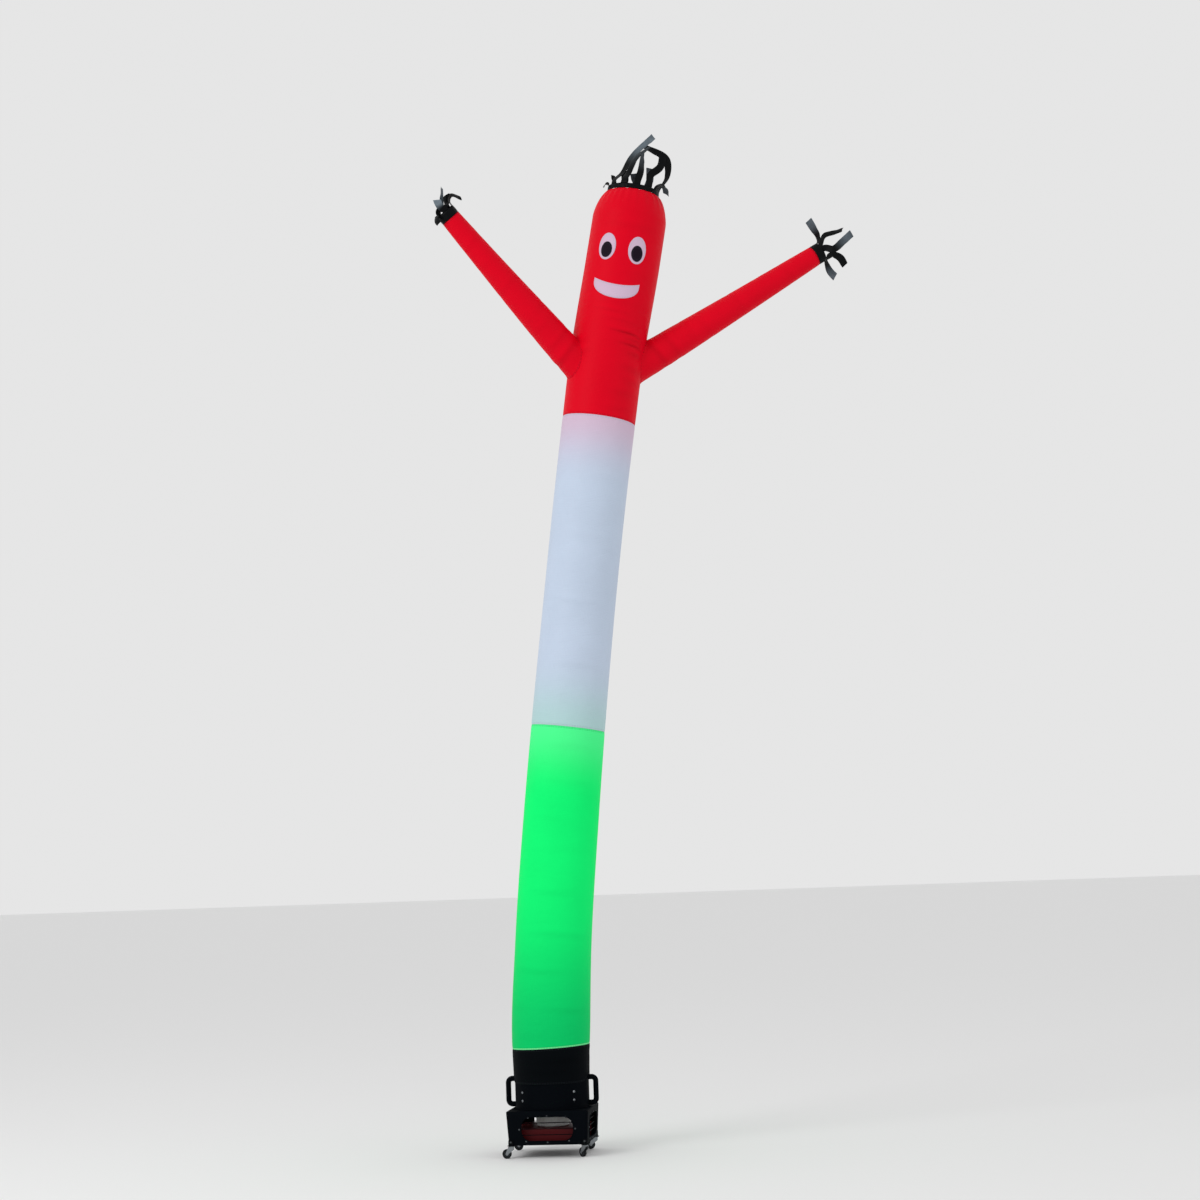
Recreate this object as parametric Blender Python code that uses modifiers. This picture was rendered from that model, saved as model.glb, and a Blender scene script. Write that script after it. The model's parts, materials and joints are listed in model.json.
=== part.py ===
"""An inflatable air dancer: a leaning cloth tube with two arms, a face and ribbons, on its blower.

Metres, +Z up, front towards -Y. Pieces are placed from the blower's axis at floor level, and the
whole stands on FRAME_SHIFT, which brings the middle of its overall box over the origin.
"""

import math

import bmesh
import bpy
import numpy as np
from mathutils import Matrix, Vector

# ---- Common sizes ------------------------------------------------------------------------------
GAP = 0.0003  # between pieces that touch
CLOTH = 0.0015  # coated nylon with its seam allowance
PATCH = 0.0010
TUBE_SIDES = 24
ARM_SIDES = 16
FRAME_SHIFT = Vector((-0.7625, 0.0116, 0.0))

# ---- The tube ----------------------------------------------------------------------------------
# It leans sideways in one upright plane, which is turned this far from the X axis.
LEAN_TURN = math.radians(7.5)
ASIDE = Vector((math.cos(LEAN_TURN), math.sin(LEAN_TURN), 0.0))
BACK = Vector((-math.sin(LEAN_TURN), math.cos(LEAN_TURN), 0.0))
UP = Vector((0.0, 0.0, 1.0))
HANDLE_AT = -LEAN_TURN  # where the right loop stands, as an angle round the tube

HEM = 0.415
CUFF_SEAM = 0.620
GREEN_SEAM = 2.480
WHITE_SEAM = 4.330
SHOULDER = 5.564
HEAD_TOP = 5.724
HEAD_OPENING = 0.157  # radius of the open top

# (height, how far the middle has leaned, radius)
TUBE = (
    (0.300, 0.000, 0.2205),
    (HEM, 0.000, 0.2205),
    (0.500, 0.000, 0.2225),
    (CUFF_SEAM, 0.002, 0.2270),
    (1.200, 0.034, 0.2240),
    (2.000, 0.109, 0.2235),
    (GREEN_SEAM, 0.162, 0.2215),
    (3.200, 0.252, 0.2175),
    (4.000, 0.362, 0.2175),
    (WHITE_SEAM, 0.411, 0.2190),
    (4.700, 0.468, 0.2210),
    (5.300, 0.588, 0.2250),
    (5.640, 0.652, 0.2250),
    (6.000, 0.712, 0.2250),
)
# The seams were sewn a little out of square: (height, degrees that the rows climb to the right)
SKEW = ((0.300, 0.0), (HEM, 0.0), (CUFF_SEAM, 3.6), (0.850, 0.0), (0.950, 0.0), (2.350, -1.2),
        (GREEN_SEAM, -1.2), (WHITE_SEAM, -1.1), (5.300, -0.6), (5.640, 0.0), (6.000, 0.0))
# Soft creases across the cloth: (height, angle round the tube, half length in degrees, depth)
CREASES = (
    (0.535, -70.0, 70.0, 0.0040),
    (0.830, -60.0, 60.0, 0.0030),
    (1.050, -110.0, 75.0, 0.0030),
    (1.265, -80.0, 80.0, 0.0035),
    (1.505, -95.0, 60.0, 0.0025),
    (2.835, -80.0, 70.0, 0.0025),
    (3.205, -100.0, 60.0, 0.0025),
    (4.480, -50.0, 45.0, 0.0040),
    (4.640, -40.0, 40.0, 0.0060),
    (4.790, -55.0, 50.0, 0.0060),
    (4.870, -65.0, 45.0, 0.0045),
)
CREASE_HALF_WIDTH = 0.030
SEAM_DRAW = 0.0015  # how far a seam draws the cloth in
SLOPE_STEP = 0.01  # over which the tube's slope is read

CUFF_ROWS = (0.0, 0.30, 0.585, 0.80, 1.0)  # as shares of the way from hem to seam
GREEN_ROWS = (0.80, 0.83, 0.86, 1.02, 1.05, 1.08, 1.235, 1.265, 1.295, 1.475, 1.505, 1.535,
              1.80, 2.15)
WHITE_ROWS = (2.805, 2.835, 2.865, 3.175, 3.205, 3.235, 3.60, 3.95)
RED_ROWS = (4.45, 4.48, 4.51, 4.61, 4.64, 4.67, 4.76, 4.79, 4.83, 4.87, 4.90, 5.10, 5.35)
DOME_STEPS = 6
DOME_POWER = 4 / 3  # 1 makes the shoulder a quarter ellipse, and more makes it slope more evenly
HEM_ARCH = 0.050  # the hem is drawn up over each carrying loop
HEM_ARCH_SPREAD = math.radians(14.0)

# ---- The face ----------------------------------------------------------------------------------
FACE_AT = math.radians(-92.5)  # the angle round the tube that the face looks to
EYE_SPREAD = math.radians(24.2)
EYE_HEIGHT = 5.340
EYE_SIZE = (0.113, 0.164)
PUPIL_HEIGHT = 5.320
PUPIL_SIZE = (0.072, 0.096)
MOUTH_HEIGHT = 5.147  # of its two corners
MOUTH_SPREAD = math.radians(37.5)
MOUTH_TOP_SAG = 0.030
MOUTH_END = 0.024  # how tall its blunt ends are
MOUTH_DEPTH = 0.112

# ---- The arms ----------------------------------------------------------------------------------
ARM_ROOT = 0.06  # how far outside the tube an arm starts to taper
ARM_INSIDE = 0.10  # how far from the axis an arm's cloth starts before it is trimmed to the tube
ARM_ROWS = 9
ARM_HOLE = 0.070  # radius of the hole in the red tube behind each arm
ARM_HOLE_SPAN = (0.09, 0.39)  # where it is cut, as lengths from the tube's axis along the arm
# (side, height on the tube's axis that it points back to, tip's place aside, back and up, radius
# where it leaves the tube, radius at the tip, sag)
ARMS = (
    ("left", 4.512, (-0.428, -0.40, 5.511), 0.0990, 0.0595, 0.008),
    ("right", 4.546, (1.775, 0.20, 5.356), 0.1000, 0.0610, 0.005),
)
ARM_TAPER = 1.3  # 1 makes an arm a straight cone, and more makes it swell before its tip
ARM_CREASES = ((0.23, 0.0045), (0.31, 0.0030), (0.62, 0.0018))  # (share of the length, depth)
ARM_CREASE_SWING = 0.4  # share of a crease's depth that comes and goes round the arm
ARM_CREASE_TURN = 9.0  # how fast that share turns from crease to crease

# ---- The ribbons -------------------------------------------------------------------------------
RIBBON = 0.0018
RIBBON_WIDTH = 0.046
HAIR_BAND = 0.030
HAIR_SIDES = 24
HAND_BAND = 0.050
HAND_SIDES = 10
BAND_GAP = 0.0009  # a band's own gap to the cloth end that it is sewn to
RIBBON_STEPS = 7
RIBBON_RISE = 0.012  # how far a ribbon first runs on straight from its band
# Each row is a ribbon: the side of the band that it grows from, then the places of its bend, its
# upper bend and its tip, each aside, back and up from the middle of the band, and its turn.
HAIR = (
    (14, (-0.062, -0.080, 0.118), (-0.004, -0.065, 0.215), (0.139, -0.030, 0.356), 35.0),
    (16, (-0.024, -0.118, 0.106), (0.029, -0.108, 0.204), (0.107, -0.100, 0.266), -30.0),
    (18, (0.049, -0.152, 0.099), (0.060, -0.150, 0.162), (0.068, -0.146, 0.222), 62.0),
    (20, (0.103, -0.122, 0.075), (0.172, -0.116, 0.140), (0.190, -0.114, 0.212), -30.0),
    (22, (0.167, -0.080, 0.027), (0.191, -0.098, 0.009), (0.199, -0.116, -0.039), -15.0),
    (0, (0.215, 0.012, 0.111), (0.215, 0.022, 0.218), (0.086, 0.024, 0.311), 120.0),
    (2, (0.168, 0.095, 0.083), (0.190, 0.102, 0.088), (0.207, 0.106, 0.053), 10.0),
    (4, (0.112, 0.136, 0.138), (0.113, 0.128, 0.168), (0.114, 0.112, 0.198), 25.0),
    (6, (0.026, 0.146, 0.125), (0.017, 0.136, 0.148), (0.012, 0.120, 0.172), 15.0),
    (8, (-0.042, 0.120, 0.133), (-0.042, 0.110, 0.155), (-0.034, 0.100, 0.184), -20.0),
    (10, (-0.108, 0.052, 0.103), (-0.114, 0.046, 0.120), (-0.116, 0.040, 0.140), 0.0),
    (12, (-0.152, -0.020, 0.073), (-0.164, -0.024, 0.071), (-0.177, -0.028, 0.050), 0.0),
)
HAND_LEFT = (
    (1, (-0.018, 0.046, 0.107), (-0.023, 0.052, 0.131), (-0.025, 0.058, 0.155), 15.0),
    (3, (-0.055, 0.032, 0.083), (-0.050, 0.022, 0.132), (-0.046, 0.014, 0.191), 40.0),
    (5, (-0.080, -0.038, -0.008), (-0.079, -0.042, -0.026), (-0.064, -0.046, -0.046), 0.0),
    (7, (-0.040, -0.078, 0.036), (-0.062, -0.086, 0.063), (-0.071, -0.092, 0.086), 0.0),
    (9, (-0.003, -0.034, 0.091), (0.006, -0.036, 0.124), (0.068, -0.038, 0.106), 0.0),
)
HAND_RIGHT = (
    (1, (0.083, 0.068, -0.036), (0.100, 0.072, -0.079), (0.132, 0.068, -0.120), 100.0),
    (3, (0.077, 0.056, 0.144), (0.140, 0.056, 0.161), (0.190, 0.056, 0.176), 35.0),
    (5, (0.024, -0.022, 0.124), (0.002, -0.026, 0.165), (-0.028, -0.030, 0.220), 80.0),
    (7, (0.112, -0.064, 0.024), (0.176, -0.062, 0.072), (0.232, -0.058, 0.121), -10.0),
    (9, (0.106, -0.030, -0.002), (0.154, -0.030, -0.021), (0.185, -0.030, -0.072), -110.0),
)

# ---- The blower --------------------------------------------------------------------------------
BASE_BOTTOM = 0.074
BASE_TOP = 0.268
BASE_WIDTH_BOTTOM = 0.458
BASE_WIDTH_TOP = 0.480
BASE_CORNER = 0.020
BASE_EDGE = 0.006
WALL = 0.006
THROAT_RADIUS = 0.205
THROAT_CUT = 0.060  # height of the cutter
WINDOW = (0.300, 0.134)
WINDOW_CORNER = 0.055
WINDOW_HEIGHT = 0.166  # of its middle
GUARD = (0.330, 0.160)
GUARD_CORNER = 0.066
GUARD_SHEET = 0.002
GUARD_DEPTH = 0.2215  # from the blower's axis to the middle of the sheet
GUARD_RIM = 0.012
GUARD_BARS = 3
GUARD_BAR = 0.005

DRUM_RADIUS = 0.2165
DRUM_TOP = 0.505
DRUM_WALL = 0.005
DRUM_FOOT = (0.228, 0.004, 0.002)  # radius and height of the foot ring, and its chamfer's height
DRUM_EDGE = 0.001

LOOP_BAR = 0.0155  # radius of the bar
LOOP_REACH = 0.2590  # from the axis to the bar's middle line
LOOP_LOW = 0.2905
LOOP_HIGH = 0.4375
LOOP_BEND = 0.024

TRAY_LENGTH = 0.400
TRAY_WIDTH = 0.360
TRAY_TOP = 0.165
TRAY_SHEET = 0.0025
BEARING_FLOOR = 0.092  # height above the motor's foot
# From the middle of the bearing's floor over the top and down to the foot: (radius, height)
MOTOR = (
    (0.0, BEARING_FLOOR), (0.0085, BEARING_FLOOR), (0.0085, 0.112), (0.024, 0.112), (0.028, 0.100),
    (0.078, 0.100), (0.092, 0.088), (0.092, 0.074), (0.100, 0.072), (0.100, 0.020), (0.092, 0.016),
    (0.092, 0.0), (0.0, 0.0),
)
SHAFT_RADIUS = 0.008
FAN_RADIUS = 0.200
FAN_HUB = (0.046, 0.322, 0.372)  # radius, bottom and top
FAN_ROOT = 0.010  # how far shaft and blades run into the hub
FAN_BLADES = 5
FAN_PITCH = math.radians(28.0)
FAN_CHORD = 0.105
FAN_ROOT_CHORD = 0.55  # at the hub, as a share of the tip's
FAN_SHEET = 0.003

# ---- The casters -------------------------------------------------------------------------------
WHEEL_RADIUS = 0.0275
WHEEL_SIDES = 18
WHEEL_WIDTH = 0.018
WHEEL_BORE = 0.00435
WHEEL_HUB = (0.010, 0.012)  # radius of its face, and of the web that it steps down to
WHEEL_SINK = 0.003  # of the web, and the tread's chamfer
WHEEL_CROWN = 0.001  # how far the rim stays behind the hub's face
PIN_RADIUS = 0.0040
AXLE_HEIGHT = WHEEL_RADIUS * math.cos(math.pi / WHEEL_SIDES)  # a flat of the tread is on the floor
CASTER_TRAIL = 0.028
CASTER_PLATE = (0.044, 0.003)  # width and thickness
CASTER_PLATE_CORNER = 0.004
STEM_RADIUS = 0.0050
STEM_HOLE = 0.0055
FORK_INSIDE = 0.020
FORK_SHEET = 0.002
FORK_TOP = 0.0665
FORK_CROWN = (-0.014, 0.020, 0.003)  # its two ends along the trail, and its thickness
FORK_RACE = (0.016, 0.019)  # its radius below and above
FORK_HEEL = (-0.013, 0.016)  # the legs' lower back corner: along the trail, and below the top
FORK_FOOT = 0.009  # radius of the legs' round ends
JOIN = 0.001  # how far stem and race run into the crown
PIN_SHOWS = 0.0015  # beyond each leg
BRACKET_TAB = (0.028, 0.034)  # width and height
BRACKET_REACH = 0.0278  # from the stem's axis to the tab's inner face
# (corner, its place from the blower's axis, degrees that its wheel trails to, 0 along +X)
CASTERS = (
    ("front_left", (-0.215, -0.204), 188.0),
    ("front_right", (0.215, -0.204), 132.0),
    ("back_right", (0.215, 0.204), 196.0),
    ("back_left", (-0.215, 0.204), 190.0),
)

# ---- Colours: red, green, blue, roughness, metallic ----------------------------------------------
RED = (0.66, 0.005, 0.020, 0.45, 0.0)
WHITE = (0.62, 0.68, 0.78, 0.45, 0.0)
GREEN = (0.010, 0.85, 0.17, 0.45, 0.0)
BLACK_CLOTH = (0.010, 0.012, 0.016, 0.50, 0.0)
PATCH_WHITE = (0.68, 0.62, 0.74, 0.50, 0.0)
RIBBON_BLACK = (0.015, 0.020, 0.024, 0.28, 0.0)
HOUSING = (0.012, 0.014, 0.018, 0.35, 0.0)
TRAY_RED = (0.28, 0.010, 0.016, 0.40, 0.0)
MOTOR_GREY = (0.42, 0.41, 0.40, 0.40, 0.6)
STEEL = (0.50, 0.52, 0.54, 0.30, 1.0)
BRACKET_BLACK = (0.020, 0.022, 0.026, 0.45, 0.3)
FAN_BLACK = (0.020, 0.020, 0.022, 0.50, 0.0)
TYRE = (0.10, 0.11, 0.12, 0.55, 0.0)


# ---- Helpers -----------------------------------------------------------------------------------
def clear_scene():
    for obj in list(bpy.data.objects):
        bpy.data.objects.remove(obj, do_unlink=True)


def new_collection(name):
    collection = bpy.data.collections.new(name)
    bpy.context.scene.collection.children.link(collection)
    return collection


def add_object(name, data, collection):
    obj = bpy.data.objects.new(name, data)
    collection.objects.link(obj)
    obj.parent = ROOT
    return obj


def mesh_object(name, bm, collection):
    mesh = bpy.data.meshes.new(name)
    bm.to_mesh(mesh)
    bm.free()
    return add_object(name, mesh, collection)


def colour(obj, look):
    material = bpy.data.materials.new(obj.name)
    material.use_nodes = True
    shader = material.node_tree.nodes["Principled BSDF"]
    shader.inputs["Base Color"].default_value = (*look[:3], 1.0)
    shader.inputs["Roughness"].default_value = look[3]
    shader.inputs["Metallic"].default_value = look[4]
    obj.data.materials.clear()
    obj.data.materials.append(material)


def round_shade(obj, degrees=35.0):
    obj.data.shade_smooth()
    obj.data.set_sharp_from_angle(angle=math.radians(degrees))


def thicken(obj, thickness, offset, even=True):
    shell = obj.modifiers.new("thickness", "SOLIDIFY")
    shell.thickness = thickness
    shell.offset = offset
    shell.use_even_offset = even


def cut(obj, cutter):
    cutter.hide_render = True
    cutter.display_type = "WIRE"
    boolean = obj.modifiers.new("cut", "BOOLEAN")
    boolean.operation = "DIFFERENCE"
    boolean.solver = "EXACT"
    boolean.object = cutter


def evaluated_mesh(obj):
    """The mesh that an object's modifiers or curve settings give, its doubles welded."""
    bpy.context.view_layer.update()
    graph = bpy.context.evaluated_depsgraph_get()
    mesh = bpy.data.meshes.new_from_object(obj.evaluated_get(graph))
    bm = bmesh.new()
    bm.from_mesh(mesh)
    bmesh.ops.remove_doubles(bm, verts=bm.verts, dist=1e-6)
    bm.to_mesh(mesh)
    bm.free()
    return mesh


def flat_curve(name, outlines, thickness, collection):
    """A sheet cut to closed outlines in its own XY plane; outlines inside the first are holes."""
    curve = bpy.data.curves.new(name, "CURVE")
    curve.dimensions = "2D"
    curve.fill_mode = "BOTH"
    curve.extrude = thickness / 2
    for outline in outlines:
        spline = curve.splines.new("POLY")
        spline.points.add(len(outline) - 1)
        for point, (x, y) in zip(spline.points, outline):
            point.co = (x, y, 0.0, 1.0)
        spline.use_cyclic_u = True
    return add_object(name, curve, collection)


def as_mesh(obj):
    """The same object with its curve made a mesh."""
    mesh = evaluated_mesh(obj)
    name, place, collection = obj.name, obj.matrix_basis.copy(), obj.users_collection[0]
    bpy.data.objects.remove(obj, do_unlink=True)
    made = add_object(name, mesh, collection)
    made.matrix_basis = place
    return made


def rounded_box(width, height, radius, steps=5):
    """The outline of a rectangle with round corners, anticlockwise."""
    points = []
    for quarter, (sx, sy) in enumerate(((1, 1), (-1, 1), (-1, -1), (1, -1))):
        centre_x = sx * (width / 2 - radius)
        centre_y = sy * (height / 2 - radius)
        for step in range(steps + 1):
            angle = math.pi / 2 * (quarter + step / steps)
            points.append((centre_x + radius * math.cos(angle), centre_y + radius * math.sin(angle)))
    return points


def circle(radius, sides, phase=0.0):
    turns = [phase + 2 * math.pi * k / sides for k in range(sides)]
    return [(radius * math.cos(a), radius * math.sin(a)) for a in turns]


def turned(name, profile, sides, collection, look):
    """A closed profile of (radius, height), down its outer side first, turned about Z."""
    bm = bmesh.new()
    verts = [bm.verts.new((r, 0.0, z)) for r, z in profile]
    for k, vert in enumerate(verts):
        bm.edges.new((vert, verts[(k + 1) % len(verts)]))
    obj = mesh_object(name, bm, collection)
    screw = obj.modifiers.new("turn", "SCREW")
    screw.steps = sides
    screw.render_steps = sides
    screw.use_merge_vertices = True
    screw.merge_threshold = 0.00001
    colour(obj, look)
    return obj


def smooth(rows, column, at):
    """The smooth curve through one column of a table, read at one value of its first column."""
    x = np.array([row[0] for row in rows])
    y = np.array([row[column] for row in rows])
    slope = np.gradient(y, x)
    k = int(np.clip(np.searchsorted(x, at) - 1, 0, len(x) - 2))
    span = x[k + 1] - x[k]
    t = (at - x[k]) / span
    return float(
        (2 * t**3 - 3 * t**2 + 1) * y[k]
        + (t**3 - 2 * t**2 + t) * span * slope[k]
        + (3 * t**2 - 2 * t**3) * y[k + 1]
        + (t**3 - t**2) * span * slope[k + 1]
    )


def angle_apart(a, b):
    return abs((a - b + math.pi) % (2 * math.pi) - math.pi)


# ---- The tube's surface ------------------------------------------------------------------------
def tube_middle(height):
    return ASIDE * smooth(TUBE, 1, height) + UP * height


def tube_frame(height):
    """The middle of the tube at a height, and its directions aside, back and along."""
    along = (tube_middle(height + SLOPE_STEP) - tube_middle(height - SLOPE_STEP)).normalized()
    aside = BACK.cross(along)
    return tube_middle(height), aside, BACK, along


def crease_depth(angle, height):
    depth = 0.0
    for crease_height, crease_angle, half_length, deep in CREASES:
        across = abs(height - crease_height) / CREASE_HALF_WIDTH
        reach = angle_apart(angle, math.radians(crease_angle)) / math.radians(half_length)
        if across < 1.0 and reach < 1.0:
            depth += deep * math.cos(math.pi / 2 * across) ** 2 * math.cos(math.pi / 2 * reach)
    return depth


def tube_point(angle, height, lift=0.0, radius=None):
    middle, aside, back, along = tube_frame(height)
    skew = math.radians(smooth(SKEW, 1, height))
    out = (aside * math.cos(skew) + along * math.sin(skew)) * math.cos(angle)
    out += back * math.sin(angle)
    size = smooth(TUBE, 2, height) if radius is None else radius
    return middle + out * (size + lift - crease_depth(angle, height))


def rolled_cloth(name, rows, sides, point, start, collection, capped=False):
    """A flat grid rolled into a sleeve: point(angle, row) places each of its corners."""
    bm = bmesh.new()
    bmesh.ops.create_grid(bm, x_segments=sides, y_segments=len(rows) - 1, size=0.5)
    for vert in bm.verts:
        angle = start + 2 * math.pi * (vert.co.x + 0.5)
        row = rows[round((vert.co.y + 0.5) * (len(rows) - 1))]
        vert.co = point(angle, row)
    bmesh.ops.remove_doubles(bm, verts=bm.verts, dist=1e-5)
    bmesh.ops.triangulate(bm, faces=bm.faces, quad_method="FIXED")
    if capped:
        open_edges = [edge for edge in bm.edges if edge.is_boundary]
        bmesh.ops.holes_fill(bm, edges=open_edges, sides=0)
        bmesh.ops.recalc_face_normals(bm, faces=bm.faces)
    return mesh_object(name, bm, collection)


def seamed_rows(low, rows, high):
    """A panel's rows with a gap to its neighbours, and a row beside each seam."""
    return (low + GAP / 2, *rows, high - GAP / 2)


def panel(name, rows, look, seams):
    def point(angle, height):
        drawn = any(abs(height - seam) < 2 * GAP for seam in seams)
        return tube_point(angle, height, -SEAM_DRAW if drawn else 0.0)

    obj = rolled_cloth(name, rows, TUBE_SIDES, point, HANDLE_AT, PARTS)
    thicken(obj, CLOTH, -1.0)
    round_shade(obj)
    colour(obj, look)
    return obj


def make_cuff():
    def point(angle, share):
        loops = (HANDLE_AT, HANDLE_AT + math.pi)
        arch = sum(math.exp(-((angle_apart(angle, at) / HEM_ARCH_SPREAD) ** 2)) for at in loops)
        hem = HEM + HEM_ARCH * arch
        top = CUFF_SEAM - GAP / 2
        drawn = -SEAM_DRAW if share == 1.0 else 0.0
        return tube_point(angle, hem + (top - hem) * share, drawn)

    obj = rolled_cloth("cuff_black", CUFF_ROWS, TUBE_SIDES, point, HANDLE_AT, PARTS)
    thicken(obj, CLOTH, -1.0)
    round_shade(obj)
    colour(obj, BLACK_CLOTH)


def make_red_panel():
    """The torso and head, which end in a rounded shoulder round the open top."""
    rows = [(height, None) for height in seamed_rows(WHITE_SEAM, RED_ROWS, SHOULDER)[:-1]]
    head_radius = smooth(TUBE, 2, SHOULDER)
    for step in range(DOME_STEPS + 1):
        angle = math.pi / 2 * step / DOME_STEPS
        height = SHOULDER + (HEAD_TOP - SHOULDER) * math.sin(angle) ** DOME_POWER
        radius = HEAD_OPENING + (head_radius - HEAD_OPENING) * math.cos(angle) ** DOME_POWER
        rows.append((height, radius))

    def point(angle, row):
        height, radius = row
        drawn = -SEAM_DRAW if abs(height - WHITE_SEAM) < 2 * GAP else 0.0
        return tube_point(angle, height, drawn, radius)

    obj = rolled_cloth("panel_red", rows, TUBE_SIDES, point, HANDLE_AT, PARTS)
    thicken(obj, CLOTH, -1.0)
    round_shade(obj)
    colour(obj, RED)
    return obj


# ---- The arms ----------------------------------------------------------------------------------
def arm_frame(height, tip):
    """Where an arm's axis starts on the tube's axis, its length, and its three directions."""
    start = tube_middle(height)
    end = ASIDE * tip[0] + BACK * tip[1] + UP * tip[2]
    along = (end - start).normalized()
    across = BACK.cross(along).normalized()
    return start, (end - start).length, across, along.cross(across), along


def make_arm(side, height, tip, root_radius, tip_radius, sag, red, trimmer):
    start, length, across, back, along = arm_frame(height, tip)
    root_share = (smooth(TUBE, 2, height) + ARM_ROOT) / length

    def point(angle, row):
        share = ARM_INSIDE / length + (1 - ARM_INSIDE / length) * row / (ARM_ROWS - 1)
        taper = min(1.0, max(0.0, (share - root_share) / (1 - root_share)))
        radius = root_radius + (tip_radius - root_radius) * taper ** ARM_TAPER
        for at, depth in ARM_CREASES:
            if round(at * (ARM_ROWS - 1)) == row:
                swing = ARM_CREASE_SWING * (1 - math.sin(angle + ARM_CREASE_TURN * at))
                radius -= depth * (1 - swing)
        bow = -UP * sag * math.sin(math.pi * share)
        out = across * math.cos(angle) + back * math.sin(angle)
        return start + along * length * share + bow + out * radius

    obj = rolled_cloth(f"arm_{side}", range(ARM_ROWS), ARM_SIDES, point, 0.0, PARTS)
    thicken(obj, CLOTH, -1.0)
    cut(obj, trimmer)
    round_shade(obj)
    colour(obj, RED)

    near, far = ARM_HOLE_SPAN
    bm = bmesh.new()
    bmesh.ops.create_cone(bm, cap_ends=True, segments=ARM_SIDES, radius1=ARM_HOLE,
                          radius2=ARM_HOLE, depth=far - near)
    hole = mesh_object(f"hole_{side}", bm, CUTTERS)
    turn = Matrix((across, back, along)).transposed().to_4x4()
    hole.matrix_basis = Matrix.Translation(start + along * (near + far) / 2) @ turn
    cut(red, hole)


# ---- Bands with ribbons ------------------------------------------------------------------------
def ribbon_path(root, along, bends):
    """Evenly spaced places on the smooth curve from a ribbon's root through its bends."""
    stops = [root, root + along * RIBBON_RISE, *bends]
    lengths = [0.0]
    for before, after in zip(stops, stops[1:]):
        lengths.append(lengths[-1] + (after - before).length)
    rows = [(at, *stop) for at, stop in zip(lengths, stops)]
    path = []
    for step in range(1, RIBBON_STEPS + 1):
        at = lengths[-1] * step / RIBBON_STEPS
        path.append(Vector([smooth(rows, column, at) for column in (1, 2, 3)]))
    return path


def grow_ribbon(bm, edge, along, bends, turn):
    """Extrudes one edge of the band along its path, turning as it goes."""
    left, right = edge.verts
    root = (left.co + right.co) / 2
    width = right.co - left.co
    path = ribbon_path(root, along, bends)
    before = root
    for step, place in enumerate(path):
        ahead = path[min(step + 1, len(path) - 1)] - before
        extruded = bmesh.ops.extrude_edge_only(bm, edges=[edge])["geom"]
        fresh = [item for item in extruded if isinstance(item, bmesh.types.BMVert)]
        edge = next(item for item in extruded if isinstance(item, bmesh.types.BMEdge))
        new_left = min(fresh, key=lambda vert: (vert.co - left.co).length)
        new_right = next(vert for vert in fresh if vert is not new_left)
        size = (width.length + RIBBON_WIDTH) / 2
        width = width - ahead.normalized() * width.dot(ahead.normalized())
        step_turn = Matrix.Rotation(math.radians(turn / len(path)), 3, ahead)
        width = (step_turn @ width).normalized() * size
        new_left.co = place - width / 2
        new_right.co = place + width / 2
        left, right = new_left, new_right
        before = place


def ribbon_band(name, middle, aside, back, along, radius, height, sides, ribbons):
    """A band round a cloth end with its ribbons, cut from one sheet: a fringe on its heading."""
    bm = bmesh.new()
    bmesh.ops.create_grid(bm, x_segments=sides, y_segments=1, size=0.5)
    for vert in bm.verts:
        angle = 2 * math.pi * (vert.co.x + 0.5)
        up = height * (vert.co.y + 0.5)
        vert.co = middle + (aside * math.cos(angle) + back * math.sin(angle)) * radius + along * up
    bmesh.ops.remove_doubles(bm, verts=bm.verts, dist=1e-5)
    top = middle + along * height
    rim = [edge for edge in bm.edges
           if all(abs((vert.co - top).dot(along)) < height / 4 for vert in edge.verts)]

    def side_of(edge):
        out = (edge.verts[0].co + edge.verts[1].co) / 2 - top
        return math.atan2(out.dot(back), out.dot(aside)) % (2 * math.pi)

    rim.sort(key=side_of)
    for side, bend, upper_bend, tip, turn in ribbons:
        bends = [middle + ASIDE * p[0] + BACK * p[1] + UP * p[2] for p in (bend, upper_bend, tip)]
        grow_ribbon(bm, rim[side], along, bends, turn)
    obj = mesh_object(name, bm, PARTS)
    thicken(obj, RIBBON, -1.0, even=False)
    round_shade(obj, 60.0)
    colour(obj, RIBBON_BLACK)


# ---- The face ----------------------------------------------------------------------------------
def patch(name, place, columns, rows, lift, look):
    """A sewn patch: place(a, b) gives angle and height for a and b from -1 to 1."""
    bm = bmesh.new()
    bmesh.ops.create_grid(bm, x_segments=columns, y_segments=rows, size=1.0)
    for vert in bm.verts:
        angle, height = place(vert.co.x, vert.co.y)
        vert.co = tube_point(angle, height, lift)
    obj = mesh_object(name, bm, PARTS)
    thicken(obj, PATCH, 1.0)
    round_shade(obj)
    colour(obj, look)


def oval(at, height, size):
    """Maps a square onto an oval on the head."""
    def place(a, b):
        x = a * math.sqrt(1 - b * b / 2)
        y = b * math.sqrt(1 - a * a / 2)
        radius = smooth(TUBE, 2, height)
        return at + x * size[0] / 2 / radius, height + y * size[1] / 2

    return place


def smile(a, b):
    """Maps a square onto the mouth: a runs from corner to corner, b from its lower to upper edge."""
    upper = -MOUTH_TOP_SAG * (1 - a * a)
    lower = -MOUTH_END - (MOUTH_DEPTH - MOUTH_END) * math.sqrt(1 - a * a)
    share = (b + 1) / 2
    return FACE_AT + a * MOUTH_SPREAD, MOUTH_HEIGHT + lower + (upper - lower) * share


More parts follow.
